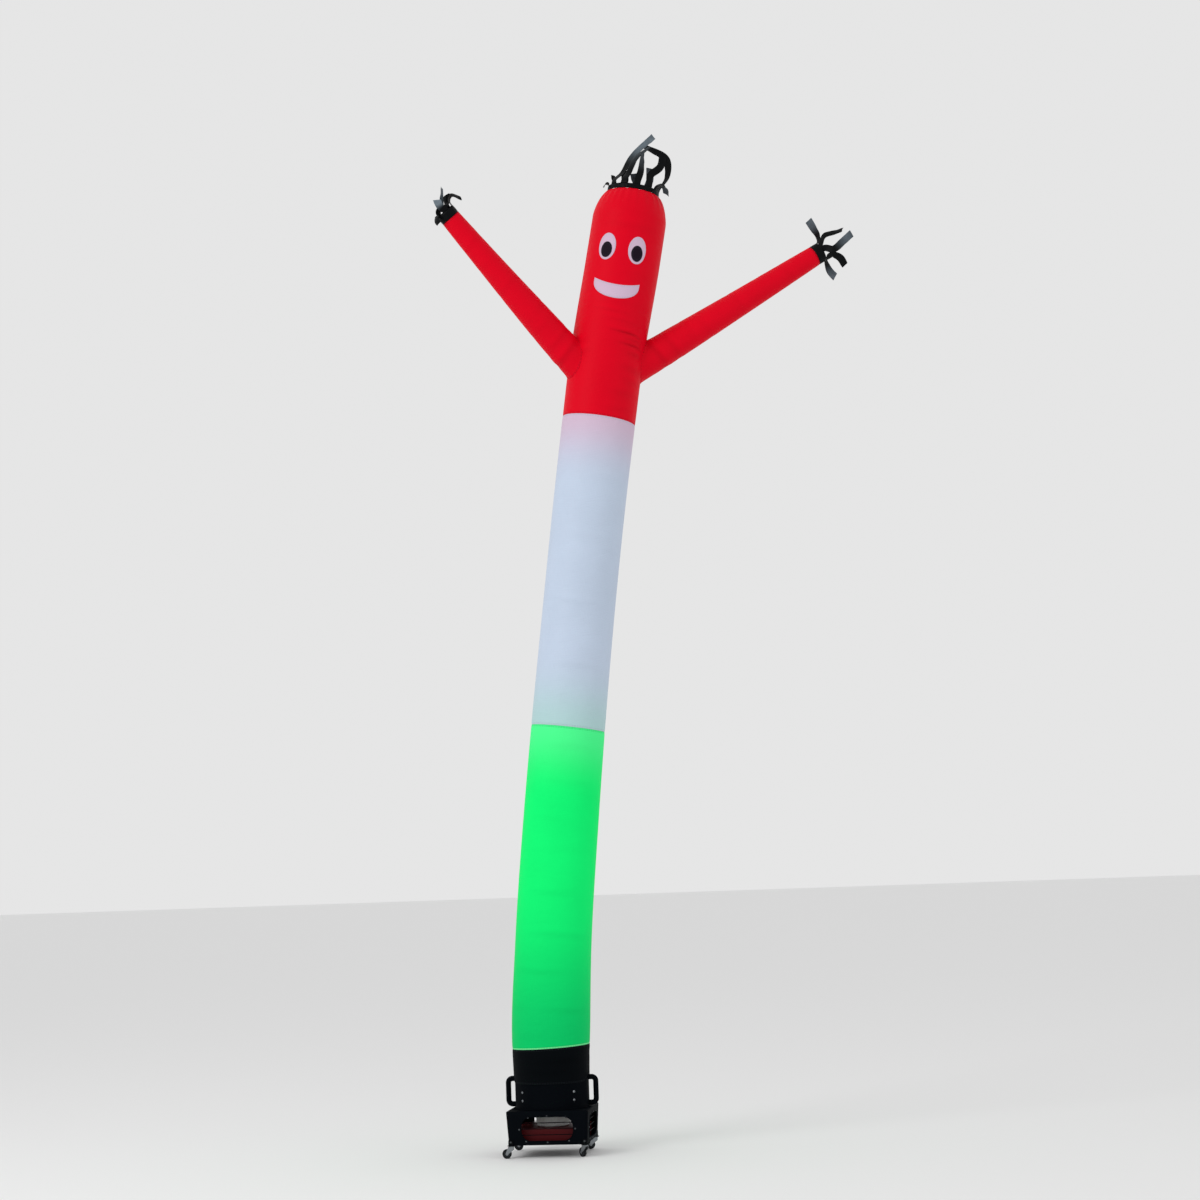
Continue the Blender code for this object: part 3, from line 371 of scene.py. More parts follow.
@dataclass(frozen=True)
class CoatedNylon(Finish):
    """Ripstop nylon with a thin coating: plain woven, dyed, crumpled in its bag and blown tight.

    The reinforcing grid of the real cloth is 5 mm; it is drawn at 10 mm so that it shows. Near its ends
    the cloth carries painted light and shade, which stand in for the light that its neighbours throw
    through it and for shade towards the foot. A lockstitch is 8 mm long, and its thread is drawn 1.6 mm
    thick so that it shows. Lengths are in metres.
    """

    thread: str = "#FFFFFF"
    # Painted light and shade near the ends: the colour at the top, the colour at the foot, and how much of
    # them is mixed in
    top_painted_light: str = "#FFFFFF"
    foot_painted_light_and_shade: str = "#FFFFFF"
    painted_end_light: float = 0.0
    dark_dye: float = 0.90
    hem: str | None = None
    hem_height: float = 0.008
    fold_shade: float = 0.32
    stitch_rows: tuple[float, float] = (0.0035, 0.0095)
    stitch: float = 0.008
    stitch_gap: float = 0.0022
    half_thread: float = 0.0008
    ripstop: float = 0.010
    ripstop_thread: float = 0.0009
    ripstop_shade: float = 0.07
    crumple: float = 0.35
    ior: float = 1.53

    def paint(self, tree: bpy.types.NodeTree, shader: bpy.types.Node) -> None:
        """Adds dye mottling, painted light and shade near the ends, hem, fold shade, stitches, the ripstop
        grid and the crumple.

        Args:
            tree: The material's nodes.
            shader: Its shader.
        """
        place = add_node(tree, "TexCoord")
        # Dye and coating vary slowly over a hand's width
        mottle = add_node(tree, "TexNoise", {"Vector": place.outputs["Object"], "Scale": 5.0, "Detail": 3.0})
        base = linear(self.colour)
        dark = tuple(self.dark_dye * c for c in base[:3]) + (1.0,)
        dye = add_node(tree, "Mix", {0: mottle.outputs["Fac"], 6: dark, 7: base}, data_type="RGBA")
        colour = dye.outputs[2]
        # Painted light and shade: near each end the colour is mixed with one that stands in for the light and
        # shade there, such as the pink that the red panel throws through the white
        if self.painted_end_light:
            for mark, painted_end_light in (("near_top", self.top_painted_light), ("near_foot", self.foot_painted_light_and_shade)):
                near = add_node(tree, "Attribute", attribute_name=mark)
                share = add_node(tree, "Math", {0: near.outputs["Fac"], 1: self.painted_end_light}, operation="MULTIPLY")
                mixed = add_node(tree, "Mix", {0: share.outputs[0], 6: colour, 7: linear(painted_end_light)},
                                 data_type="RGBA")
                colour = mixed.outputs[2]
        # A turned edge at the panel's foot shows the cloth's paler inner side
        seam = add_node(tree, "Attribute", attribute_name="seam")
        if self.hem:
            foot = add_node(tree, "Attribute", attribute_name="near_foot")
            low = add_node(tree, "Math", {0: foot.outputs["Fac"], 1: 0.5}, operation="GREATER_THAN")
            edge = add_node(tree, "Math", {0: seam.outputs["Fac"], 1: self.hem_height},
                            operation="LESS_THAN")
            turned = add_node(tree, "Math", {0: low.outputs[0], 1: edge.outputs[0]}, operation="MULTIPLY")
            hemmed = add_node(tree, "Mix", {0: turned.outputs[0], 6: colour, 7: linear(self.hem)},
                              data_type="RGBA")
            colour = hemmed.outputs[2]
        # Folded cloth is darker in its troughs, where less of the sky reaches it, and paler on its ridges
        fold = add_node(tree, "Attribute", attribute_name="fold")
        shade = add_node(tree, "MapRange", {0: fold.outputs["Fac"], 1: -0.4, 2: 1.0,
                                            3: 1.0 + self.fold_shade / 2, 4: 1.0 - self.fold_shade})
        shaded = add_node(tree, "VectorMath", {0: colour, "Scale": shade.outputs[0]}, operation="SCALE")
        # Two rows of lockstitch run beside each seam
        rows = [add_node(tree, "Math", {0: seam.outputs["Fac"], 1: row, 2: self.half_thread},
                         operation="COMPARE") for row in self.stitch_rows]
        either = add_node(tree, "Math", {0: rows[0].outputs[0], 1: rows[1].outputs[0]}, operation="MAXIMUM")
        parts = add_node(tree, "SeparateXYZ", {0: place.outputs["UV"]})
        along = add_node(tree, "Math", {0: parts.outputs["X"], 1: self.stitch}, operation="PINGPONG")
        long = add_node(tree, "Math", {0: along.outputs[0], 1: self.stitch_gap}, operation="GREATER_THAN")
        stitch = add_node(tree, "Math", {0: either.outputs[0], 1: long.outputs[0]}, operation="MULTIPLY")
        sewn = add_node(tree, "Mix", {0: stitch.outputs[0], 6: shaded.outputs[0], 7: linear(self.thread)},
                        data_type="RGBA")
        # Ripstop: a raised thread each way at the grid's spacing
        threads = []
        for axis in ("X", "Y"):
            near = add_node(tree, "Math", {0: parts.outputs[axis], 1: self.ripstop / 2},
                            operation="PINGPONG")
            line = add_node(tree, "MapRange",
                            {0: near.outputs[0], 1: 0.0, 2: self.ripstop_thread, 3: 1.0, 4: 0.0})
            threads.append(line.outputs[0])
        mesh = add_node(tree, "Math", {0: threads[0], 1: threads[1]}, operation="MAXIMUM")
        darker = add_node(tree, "Math", {0: mesh.outputs[0], 1: self.ripstop_shade}, operation="MULTIPLY")
        woven = add_node(tree, "Mix", {0: darker.outputs[0], 6: sewn.outputs[2], 7: linear("#000000")},
                         data_type="RGBA")
        tree.links.new(woven.outputs[2], shader.inputs["Base Color"])
        rough = add_node(tree, "MapRange", {0: mottle.outputs["Fac"], 3: self.roughness - 0.06,
                                            4: self.roughness + 0.06})
        tree.links.new(rough.outputs[0], shader.inputs["Roughness"])
        # Crumple: packing creases some 60 mm apart, flatter across than up
        squeeze = add_node(tree, "Mapping", {"Vector": place.outputs["Object"], "Scale": (0.8, 0.8, 2.0)})
        crumple = add_node(tree, "TexNoise", {"Vector": squeeze.outputs[0], "Scale": 9.0, "Detail": 4.0,
                                              "Roughness": 0.55, "Distortion": 0.8})
        bump = None
        for height, strength, distance in (
            (crumple.outputs["Fac"], self.crumple, 0.012), (mesh.outputs[0], 0.25, 0.0006),
            (stitch.outputs[0], 0.6, 0.0012),
        ):
            below = {"Normal": bump.outputs[0]} if bump else {}
            bump = add_node(tree, "Bump", {"Height": height, "Strength": strength, "Distance": distance,
                                           **below})
        tree.links.new(bump.outputs[0], shader.inputs["Normal"])
        shader.inputs["IOR"].default_value = self.ior


@dataclass(frozen=True)
class SatinTape(Finish):
    """Black woven flag tape: a matt back and a calendered face, whose reflection of the sky is painted into
    the colour as slate grey.

    Its ribs are a thread apart, drawn at 3 mm so that they show close by.
    """

    # The slate grey of the painted sky reflection
    shine: str = "#84919B"
    half_rib: float = 0.0015

    def paint(self, tree: bpy.types.NodeTree, shader: bpy.types.Node) -> None:
        """Adds the painted sky reflection on each ribbon, its ribs across and its soft crumple.

        Args:
            tree: The material's nodes.
            shader: Its shader.
        """
        place = add_node(tree, "TexCoord")
        # Painted reflection: the sky's slate grey in the calendered face, mixed into the colour where the
        # mesh marks it, unevenly
        painted_reflection_share = add_node(tree, "Attribute", attribute_name="shine")
        streak = add_node(tree, "TexNoise", {"Vector": place.outputs["Object"], "Scale": 26.0, "Detail": 3.0})
        uneven = add_node(tree, "MapRange", {0: streak.outputs["Fac"], 1: 0.3, 2: 0.7, 3: 0.65, 4: 1.0})
        share = add_node(tree, "Math", {0: painted_reflection_share.outputs["Fac"], 1: uneven.outputs[0]},
                         operation="MULTIPLY")
        mixed = add_node(tree, "Mix", {0: share.outputs[0], 6: linear(self.colour), 7: linear(self.shine)},
                         data_type="RGBA")
        tree.links.new(mixed.outputs[2], shader.inputs["Base Color"])
        parts = add_node(tree, "SeparateXYZ", {0: place.outputs["UV"]})
        rib = add_node(tree, "Math", {0: parts.outputs["Y"], 1: self.half_rib}, operation="PINGPONG")
        high = add_node(tree, "MapRange", {0: rib.outputs[0], 2: self.half_rib})
        ribs = add_node(tree, "Bump", {"Height": high.outputs[0], "Strength": 0.2, "Distance": 0.0004})
        soft = add_node(tree, "Bump", {"Height": streak.outputs["Fac"], "Strength": 0.4, "Distance": 0.004,
                                       "Normal": ribs.outputs[0]})
        tree.links.new(soft.outputs[0], shader.inputs["Normal"])


@dataclass(frozen=True)
class Moulded(Finish):
    """Moulded plastic or rubber: an even skin with an orange-peel texture and a few dull scuffs."""

    grain_mm: float = 4.0
    peel: float = 0.15
    scuff: str = "#3A3D41"
    scuffed: float = 0.3

    def paint(self, tree: bpy.types.NodeTree, shader: bpy.types.Node) -> None:
        """Adds the skin's peel and its scuffs, which are rougher and paler.

        Args:
            tree: The material's nodes.
            shader: Its shader.
        """
        place = add_node(tree, "TexCoord")
        peel = add_node(tree, "TexNoise", {"Vector": place.outputs["Object"],
                                           "Scale": 1000 / self.grain_mm, "Detail": 2.0})
        bump = add_node(tree, "Bump", {"Height": peel.outputs["Fac"], "Strength": self.peel,
                                       "Distance": 0.001})
        tree.links.new(bump.outputs[0], shader.inputs["Normal"])
        stretch = add_node(tree, "Mapping", {"Vector": place.outputs["Object"],
                                             "Rotation": (0.3, 0.2, 0.5), "Scale": (1.0, 5.0, 8.0)})
        rub = add_node(tree, "TexNoise", {"Vector": stretch.outputs[0], "Scale": 14.0, "Detail": 6.0,
                                          "Roughness": 0.7})
        worn = add_node(tree, "MapRange", {0: rub.outputs["Fac"], 1: 0.56, 2: 0.74, 3: 0.0, 4: self.scuffed})
        skin = add_node(tree, "Mix", {0: worn.outputs[0], 6: linear(self.colour), 7: linear(self.scuff)},
                        data_type="RGBA")
        tree.links.new(skin.outputs[2], shader.inputs["Base Color"])
        rough = add_node(tree, "MapRange", {0: worn.outputs[0], 2: 0.5, 3: self.roughness,
                                            4: self.roughness + 0.25})
        tree.links.new(rough.outputs[0], shader.inputs["Roughness"])


@dataclass(frozen=True)
class PlatedMetal(Finish):
    """Bare or plated metal with fine scratches and a cloudy bloom where hands and rain reach it."""

    bloom: str = "#6E7174"
    scratch_mm: float = 1.2

    def paint(self, tree: bpy.types.NodeTree, shader: bpy.types.Node) -> None:
        """Adds cloudy colour, and scratches that vary the roughness.

        Args:
            tree: The material's nodes.
            shader: Its shader.
        """
        place = add_node(tree, "TexCoord")
        cloud = add_node(tree, "TexNoise", {"Vector": place.outputs["Object"], "Scale": 60.0, "Detail": 4.0})
        share = add_node(tree, "MapRange", {0: cloud.outputs["Fac"], 1: 0.45, 2: 0.75, 3: 0.0, 4: 0.6})
        mixed = add_node(tree, "Mix", {0: share.outputs[0], 6: linear(self.colour), 7: linear(self.bloom)},
                         data_type="RGBA")
        tree.links.new(mixed.outputs[2], shader.inputs["Base Color"])
        stretch = add_node(tree, "Mapping", {"Vector": place.outputs["Object"], "Scale": (1.0, 1.0, 12.0)})
        fine = add_node(tree, "TexNoise", {"Vector": stretch.outputs[0],
                                           "Scale": 1000 / self.scratch_mm / 4, "Detail": 2.0})
        rough = add_node(tree, "MapRange", {0: fine.outputs["Fac"], 3: self.roughness - 0.08,
                                            4: self.roughness + 0.12})
        tree.links.new(rough.outputs[0], shader.inputs["Roughness"])
        bump = add_node(tree, "Bump", {"Height": fine.outputs["Fac"], "Strength": 0.08, "Distance": 0.0004})
        tree.links.new(bump.outputs[0], shader.inputs["Normal"])


RED_NYLON = CoatedNylon("red_coated_nylon", "#E2001F", 0.50, specular=0.05, thread="#A80820")
# The white and green cloths carry painted light and shade near their ends: pink and green light from the
# panels beside the white, and a paler top and a darker foot on the green
WHITE_NYLON = CoatedNylon("white_coated_nylon", "#C6D4E8", 0.50, specular=0.18, thread="#B4BFCC",
                          top_painted_light="#DCA6BE", foot_painted_light_and_shade="#A4D4C8", painted_end_light=0.60, fold_shade=0.10)
GREEN_NYLON = CoatedNylon("green_coated_nylon", "#14FF7A", 0.50, specular=0.02, thread="#0FB458",
                          top_painted_light="#50FF94", foot_painted_light_and_shade="#0CC868", painted_end_light=1.0, fold_shade=0.12,
                          hem="#7CF0A0")
BLACK_NYLON = CoatedNylon("black_coated_nylon", "#06090C", 0.64, specular=0.02, thread="#1E2226")
WHITE_PATCH = CoatedNylon("white_applique_nylon", "#D5BAD1", 0.52, specular=0.18, thread="#C8BACD",
                          crumple=0.15)
BLACK_PATCH = CoatedNylon("black_applique_nylon", "#1C101E", 0.55, specular=0.06, thread="#2A2C36",
                          crumple=0.15)
BLACK_TAPE = SatinTape("black_satin_tape", "#06080A", 0.42, specular=0.08)
HOUSING = Moulded("black_rotomoulded_polyethylene", "#080B0F", 0.55, specular=0.008, scuff="#131518")
FAN_NYLON = Moulded("black_moulded_nylon", "#0B0C0D", 0.5, specular=0.15, grain_mm=2.0, scuff="#1C1E21")
GREY_TREAD = Moulded("grey_moulded_rubber", "#121416", 0.6, specular=0.12, scuff="#222528")
WHEEL_CORE = Moulded("grey_moulded_polypropylene", "#1E2225", 0.42, specular=0.2, scuff="#303438",
                     grain_mm=2.5)
RED_POWDER = Moulded("red_powder_coated_steel", "#4E090F", 0.45, specular=0.12, scuff="#40090F",
                     grain_mm=1.2)
BLACK_POWDER = Moulded("black_powder_coated_steel", "#06080B", 0.52, specular=0.03, scuff="#16181A",
                       grain_mm=1.2)
CAST_ALUMINIUM = PlatedMetal("cast_aluminium", "#E4E4E2", 0.62, 0.20, bloom="#C4C4C1")
ZINC = PlatedMetal("zinc_plated_steel", "#8E9296", 0.30, 1.0, bloom="#5E6266")
DARK_ZINC = PlatedMetal("black_zinc_plated_steel", "#55585B", 0.36, 1.0, bloom="#3A3C3F")


# ---- The bench, where surfaces become pieces -----------------------------------------------------
@dataclass
class Bench:
    """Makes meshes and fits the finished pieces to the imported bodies.

    Attributes:
        axis: The blower's axis at floor level.
    """

    axis: Array

    def build(self, name: str, surfaces: Iterable[Surface], sharp: float = 35.0) -> Piece:
        """Joins surfaces into one mesh, welds their doubles and shades it smooth but for its edges.

        Args:
            name: The piece's name.
            surfaces: What it consists of, as measured from the blower's axis.
            sharp: Edges that bend by more degrees than this stay sharp.

        Returns:
            The piece, with its place in its mesh.
        """
        parts = list(surfaces)
        starts = np.cumsum([0] + [len(part.points) for part in parts[:-1]])
        points = np.concatenate([part.points for part in parts]) + self.axis
        faces = np.concatenate([part.faces + start for part, start in zip(parts, starts)])
        mesh = bpy.data.meshes.new(name)
        mesh.from_pydata(points.tolist(), [], faces.tolist())
        layer = mesh.uv_layers.new(name="flat")
        layer.data.foreach_set("uv", np.concatenate([part.uv for part in parts]).ravel())
        for mark in parts[0].marks:
            values = np.concatenate([part.marks[mark] for part in parts]).astype(np.float32)
            mesh.attributes.new(mark, "FLOAT", "POINT").data.foreach_set("value", values)
        bm = bmesh.new()
        bm.from_mesh(mesh)
        bmesh.ops.remove_doubles(bm, verts=bm.verts, dist=WELD)
        bmesh.ops.dissolve_degenerate(bm, edges=bm.edges, dist=LEAST_EDGE)
        bm.to_mesh(mesh)
        bm.free()
        mesh.shade_smooth()
        mesh.set_sharp_from_angle(angle=math.radians(sharp))
        piece = bpy.data.objects.new(name, mesh)
        bpy.context.scene.collection.objects.link(piece)
        return piece

    def fit(self, piece: Piece, finish: Finish, body: str = "root",
            stands_for: Sequence[str] = ()) -> None:
        """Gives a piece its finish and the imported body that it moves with.

        Args:
            piece: The finished piece.
            finish: Its material.
            body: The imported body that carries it.
            stands_for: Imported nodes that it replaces.
        """
        piece.data.materials.clear()
        piece.data.materials.append(finish.material())
        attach(piece, body)
        if stands_for:
            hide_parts(*stands_for)
        LOG.info("%s: %d faces, %s, rides on %s", piece.name, len(piece.data.polygons), finish.name, body)

    def add(self, name: str, surfaces: Iterable[Surface], finish: Finish, slot: str, body: str = "root",
            stands_for: Sequence[str] = (), sharp: float = 35.0) -> None:
        """Builds a piece and fits it, with the arguments of build and fit."""
        self.fit(self.build(name, surfaces, sharp), finish, body, stands_for)

    def carve(self, piece: Piece, tools: Sequence[Piece], sharp: float = 28.0) -> None:
        """Cuts other pieces out of one and removes them.

        Args:
            piece: What is cut.
            tools: Closed pieces that are cut away.
            sharp: Edges that bend by more degrees than this stay sharp.
        """
        for tool in tools:
            cut = piece.modifiers.new("cut", "BOOLEAN")
            cut.object = tool
            cut.solver = "EXACT"
        bpy.context.view_layer.update()
        graph = bpy.context.evaluated_depsgraph_get()
        mesh = bpy.data.meshes.new_from_object(piece.evaluated_get(graph))
        piece.modifiers.clear()
        piece.data = mesh
        for tool in tools:
            bpy.data.objects.remove(tool, do_unlink=True)
        mesh.shade_smooth()
        mesh.set_sharp_from_angle(angle=math.radians(sharp))


def thicken(piece: Piece, thickness: float, offset: float = -1.0) -> Piece:
    """Gives a single cloth surface its thickness.

    Args:
        piece: The surface.
        thickness: How thick it gets.
        offset: -1 for all of it inwards, 1 for all of it outwards.

    Returns:
        The piece.
    """
    shell = piece.modifiers.new("cloth", "SOLIDIFY")
    shell.thickness = thickness
    shell.offset = offset
    return piece


# ---- The tube ----------------------------------------------------------------------------------
@dataclass(frozen=True)
class Fold:
    """A soft trough across the cloth: where its middle is, how far it runs and how it bends."""

    height: float
    angle: float
    half_length: float
    depth: float
    bend: float = 0.0
    width: float = 0.022


# The torso's folds fan out from the root of the arm on the leaning side and bend down to it.
FOLDS = (
    Fold(0.478, -100, 80, 0.0030), Fold(0.535, -70, 70, 0.0040, -0.004), Fold(0.570, -20, 45, 0.0025, 0.012),
    Fold(0.690, -120, 40, 0.0016), Fold(0.830, -60, 60, 0.0030, -0.006), Fold(0.842, -140, 30, 0.0015),
    Fold(1.050, -110, 75, 0.0030), Fold(1.265, -80, 80, 0.0035, -0.005), Fold(1.505, -95, 60, 0.0025),
    Fold(1.760, -70, 70, 0.0012), Fold(1.930, -110, 50, 0.0014), Fold(2.145, -75, 60, 0.0015),
    Fold(2.360, -80, 65, 0.0016), Fold(2.835, -80, 70, 0.0022), Fold(3.205, -100, 60, 0.0022),
    Fold(3.600, -80, 80, 0.0010), Fold(3.960, -60, 50, 0.0010), Fold(0.900, 70, 70, 0.0030),
    Fold(1.180, 110, 60, 0.0026), Fold(1.620, 80, 70, 0.0022), Fold(2.080, 100, 60, 0.0022),
    Fold(2.990, 85, 80, 0.0020), Fold(3.450, 110, 60, 0.0020), Fold(4.620, 95, 60, 0.0032),
    Fold(4.850, 80, 60, 0.0032), Fold(4.480, -50, 45, 0.0012, 0.010), Fold(4.560, -36, 30, 0.0012, 0.012),
    Fold(4.640, -40, 40, 0.0018, -0.020, 0.024), Fold(4.735, -40, 26, 0.0028, -0.030, 0.014),
    Fold(4.786, -48, 36, 0.0060, -0.050, 0.010), Fold(4.812, -44, 28, 0.0040, -0.062, 0.009),
    Fold(4.852, -60, 46, 0.0066, -0.060, 0.009), Fold(4.915, -76, 46, 0.0014, -0.030, 0.012),
    Fold(4.965, -95, 50, 0.0016, -0.010, 0.010), Fold(5.020, -85, 50, 0.0010), Fold(4.380, -60, 50, 0.0010),
    Fold(4.700, -140, 34, 0.0024, 0.020), Fold(4.760, -146, 30, 0.0020, 0.024), Fold(5.480, -90, 70, 0.0010),
)


@dataclass(frozen=True)
class TubeForm:
    """The blown-up tube: where its middle runs, how wide it is and what folds its cloth."""

    # (height, how far the middle has leaned, radius)
    lean: SmoothTable = SmoothTable((
        (0.300, 0.000, 0.2205), (HEM, 0.000, 0.2205), (0.500, 0.000, 0.2225),
        (CUFF_SEAM, 0.002, 0.2270), (1.200, 0.034, 0.2240), (2.000, 0.109, 0.2235),
        (GREEN_SEAM, 0.162, 0.2215), (3.200, 0.252, 0.2175), (4.000, 0.362, 0.2175),
        (WHITE_SEAM, 0.411, 0.2190), (4.700, 0.468, 0.2210), (5.300, 0.588, 0.2250),
        (5.640, 0.652, 0.2250), (6.000, 0.712, 0.2250),
    ))
    # (height, degrees that the cross-section climbs to the leaning side)
    skew: SmoothTable = SmoothTable((
        (0.300, 0.0), (HEM, 0.0), (CUFF_SEAM, 3.6), (0.850, 0.0), (0.950, 0.0), (2.350, -1.2),
        (GREEN_SEAM, -1.2), (WHITE_SEAM, -1.1), (5.300, -0.6), (5.640, 0.0), (6.000, 0.0),
    ))
    folds: tuple[Fold, ...] = FOLDS
    fold_wander: float = 0.003
    seams: tuple[float, ...] = (CUFF_SEAM, GREEN_SEAM, WHITE_SEAM)
    seam_draw: float = 0.0015
    seam_width: float = 0.012
    pucker: float = 0.0016
    pucker_waves: int = 34
    pucker_reach: float = 0.035
    two_lobes: float = 0.0016
    three_lobes: float = 0.0010

    def middle(self, height: Array) -> Array:
        """The places of the tube's middle line at each height."""
        height = np.asarray(height, float)
        return ASIDE * self.lean.read(1, height)[..., None] + UP * height[..., None]

    def along(self, height: Array) -> Array:
        """The direction of the tube's middle line at each height."""
        return unit(self.middle(np.asarray(height) + 0.01) - self.middle(np.asarray(height) - 0.01))

    def radius_at(self, height: float) -> float:
        """The tube's radius at one height."""
        return float(self.lean.read(2, np.array(height)))

    def sunk(self, angle: Array, height: Array) -> Array:
        """How deep the folds draw the cloth in.

        Each fold is a Gaussian trough along a bent line, faded to its ends by a squared cosine, with
        a low ridge above it, where the value is negative.

        Args:
            angle: Angles round the tube.
            height: Heights, of the same shape.

        Returns:
            The depth below the smooth form.
        """
        deep = np.zeros_like(height)
        for fold in self.folds:
            reach = apart(angle, math.radians(fold.angle)) / math.radians(fold.half_length)
            line = fold.height + fold.bend * np.clip(reach, 0.0, 1.2) ** 2
            line = line + self.fold_wander * np.sin(4 * angle + 11 * fold.height)
            fade = np.where(np.abs(reach) < 1, np.cos(np.clip(reach, -1, 1) * math.pi / 2) ** 2, 0.0)
            deep = deep + fold.depth * fade * trough((height - line) / fold.width)
        return deep

    def relief(self, angle: Array, height: Array) -> Array:
        """How far the cloth stands out from its smooth form.

        Folds draw it in. Seams draw it in too and pucker it with waves that die away within some
        60 mm. Slow waves of two and three lobes keep the tube from being a perfect cylinder.

        Args:
            angle: Angles round the tube.
            height: Heights, of the same shape.

        Returns:
            The offset along the surface's outward direction.
        """
        out = self.two_lobes * np.sin(2 * angle + 1.7 * height)
        out = out + self.three_lobes * np.sin(3 * angle - 2.3 * height + 1.0)
        out = out - self.sunk(angle, height)
        for seam in self.seams:
            away = np.abs(height - seam)
            waves = np.sin(self.pucker_waves * angle + 2.1 * np.sin(3 * angle + seam))
            uneven = 0.55 + 0.45 * np.sin(2 * angle + 5 * seam)
            out = out - self.seam_draw * np.exp(-((away / self.seam_width) ** 2))
            out = out - self.pucker * uneven * (0.5 + 0.5 * waves) * np.exp(-away / self.pucker_reach)
        return out

    def point(self, angle: Array, height: Array, lift: float | Array = 0.0,
              radius: Array | None = None) -> Array:
        """Places on the cloth.

        A place is the middle line's at its height, plus the radius along the outward direction,
        which is aside cos a + back sin a tipped by the skew, plus relief and lift.

        Args:
            angle: Angles round the tube.
            height: Heights, of the same shape.
            lift: A further offset outwards.
            radius: Radii to use in place of the table's.

        Returns:
            The places, with a last axis of three.
        """
        along = self.along(height)
        aside = np.cross(BACK, along)
        skew = np.radians(self.skew.read(1, height))[..., None]
        out = (aside * np.cos(skew) + along * np.sin(skew)) * np.cos(angle)[..., None]
        out = out + BACK * np.sin(angle)[..., None]
        size = self.lean.read(2, height) if radius is None else radius
        return self.middle(height) + out * (size + lift + self.relief(angle, height))[..., None]

    def outside(self, places: Array) -> Array:
        """How far each place is from the tube's smooth surface.

        Three steps along the middle line find the height at which each place stands beside it.

        Args:
            places: The places, with a last axis of three.

        Returns:
            The distances, negative inside the tube.
        """
        height = places[..., 2]
        for _ in range(3):
            height = height + np.sum((places - self.middle(height)) * self.along(height), axis=-1)
        return np.linalg.norm(places - self.middle(height), axis=-1) - self.lean.read(2, height)


def rows_between(seams: Sequence[float], pitch: float) -> Array:
    """Rows from the first to the last value, with closer ones beside each value.

    Args:
        seams: The values.
        pitch: The distance of the even rows.

    Returns:
        The rows, climbing.
    """
    low, high = min(seams), max(seams)
    even = np.linspace(low, high, max(2, round((high - low) / pitch)) + 1)
    near = np.concatenate([SEAM_ROWS * sign + seam for seam in seams for sign in (-1, 1)])
    rows = np.unique(np.round(np.concatenate((even, near[(near >= low) & (near <= high)])), 5))
    return rows[np.concatenate(([True], np.diff(rows) > LEAST_STEP))]


@dataclass
class ClothPanel:
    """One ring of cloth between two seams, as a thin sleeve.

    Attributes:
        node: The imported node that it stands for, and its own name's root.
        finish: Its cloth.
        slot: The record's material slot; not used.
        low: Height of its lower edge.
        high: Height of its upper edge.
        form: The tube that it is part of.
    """

    node: str
    finish: CoatedNylon
    slot: str
    low: float
    high: float
    form: TubeForm
    columns: int = 192
    pitch: float = 0.011
    cloth: float = CLOTH
    cut_width: float = 1.40
    seam_gap: float = 0.0002
    # How far from each end the finish's painted light and shade reach
    top_reach: float = 0.50
    foot_reach: float = 0.50

    def edges(self, angle: Array) -> Array:
        """How much higher the lower edge is at each angle than its plain height."""
        return np.zeros_like(angle)

    def surface(self) -> Surface:
        """The sleeve: every angle against every row of the tube's form.

        Returns:
            The surface, marked with seam distance, closeness to both ends and fold depth.
        """
        rows = rows_between((self.low + self.seam_gap, self.high - self.seam_gap), self.pitch)
        a, h = np.meshgrid(angles_round(self.columns), rows)
        h = h + self.edges(a) * (self.high - h) / (self.high - self.low)
        seam = np.minimum(h - self.low - self.edges(a), self.high - h)
        # Closeness to each end, which carries the finish's painted light and shade
        near_top = ease(self.high - self.top_reach, self.high, h)
        near_foot = ease(self.low + self.foot_reach, self.low, h)
        return grid(self.form.point(a, h), round_columns=True,
                    uv=flat_cloth(self.cut_width, rows, self.columns), seam=seam, near_top=near_top**2,
                    near_foot=near_foot**2, fold=self.form.sunk(a, h) / DEEP_FOLD)

    def make(self, bench: Bench) -> None:
        """Args:
            bench: Where it is made.
        """
        piece = thicken(bench.build(f"{self.node}_cloth", [self.surface()]), self.cloth)
        bench.fit(piece, self.finish, stands_for=[self.node])
        around = math.tau * self.form.radius_at(0.5 * (self.low + self.high))


@dataclass
class Cuff(ClothPanel):
    """The black foot sleeve, whose hem is drawn up over both carrying loops."""

    arch: float = 0.050
    spread: float = math.radians(14.0)

    def edges(self, angle: Array) -> Array:
        """A bell curve over each loop."""
        loops = (-LEAN_TURN, math.pi - LEAN_TURN)
        return sum(self.arch * np.exp(-((apart(angle, at) / self.spread) ** 2)) for at in loops)


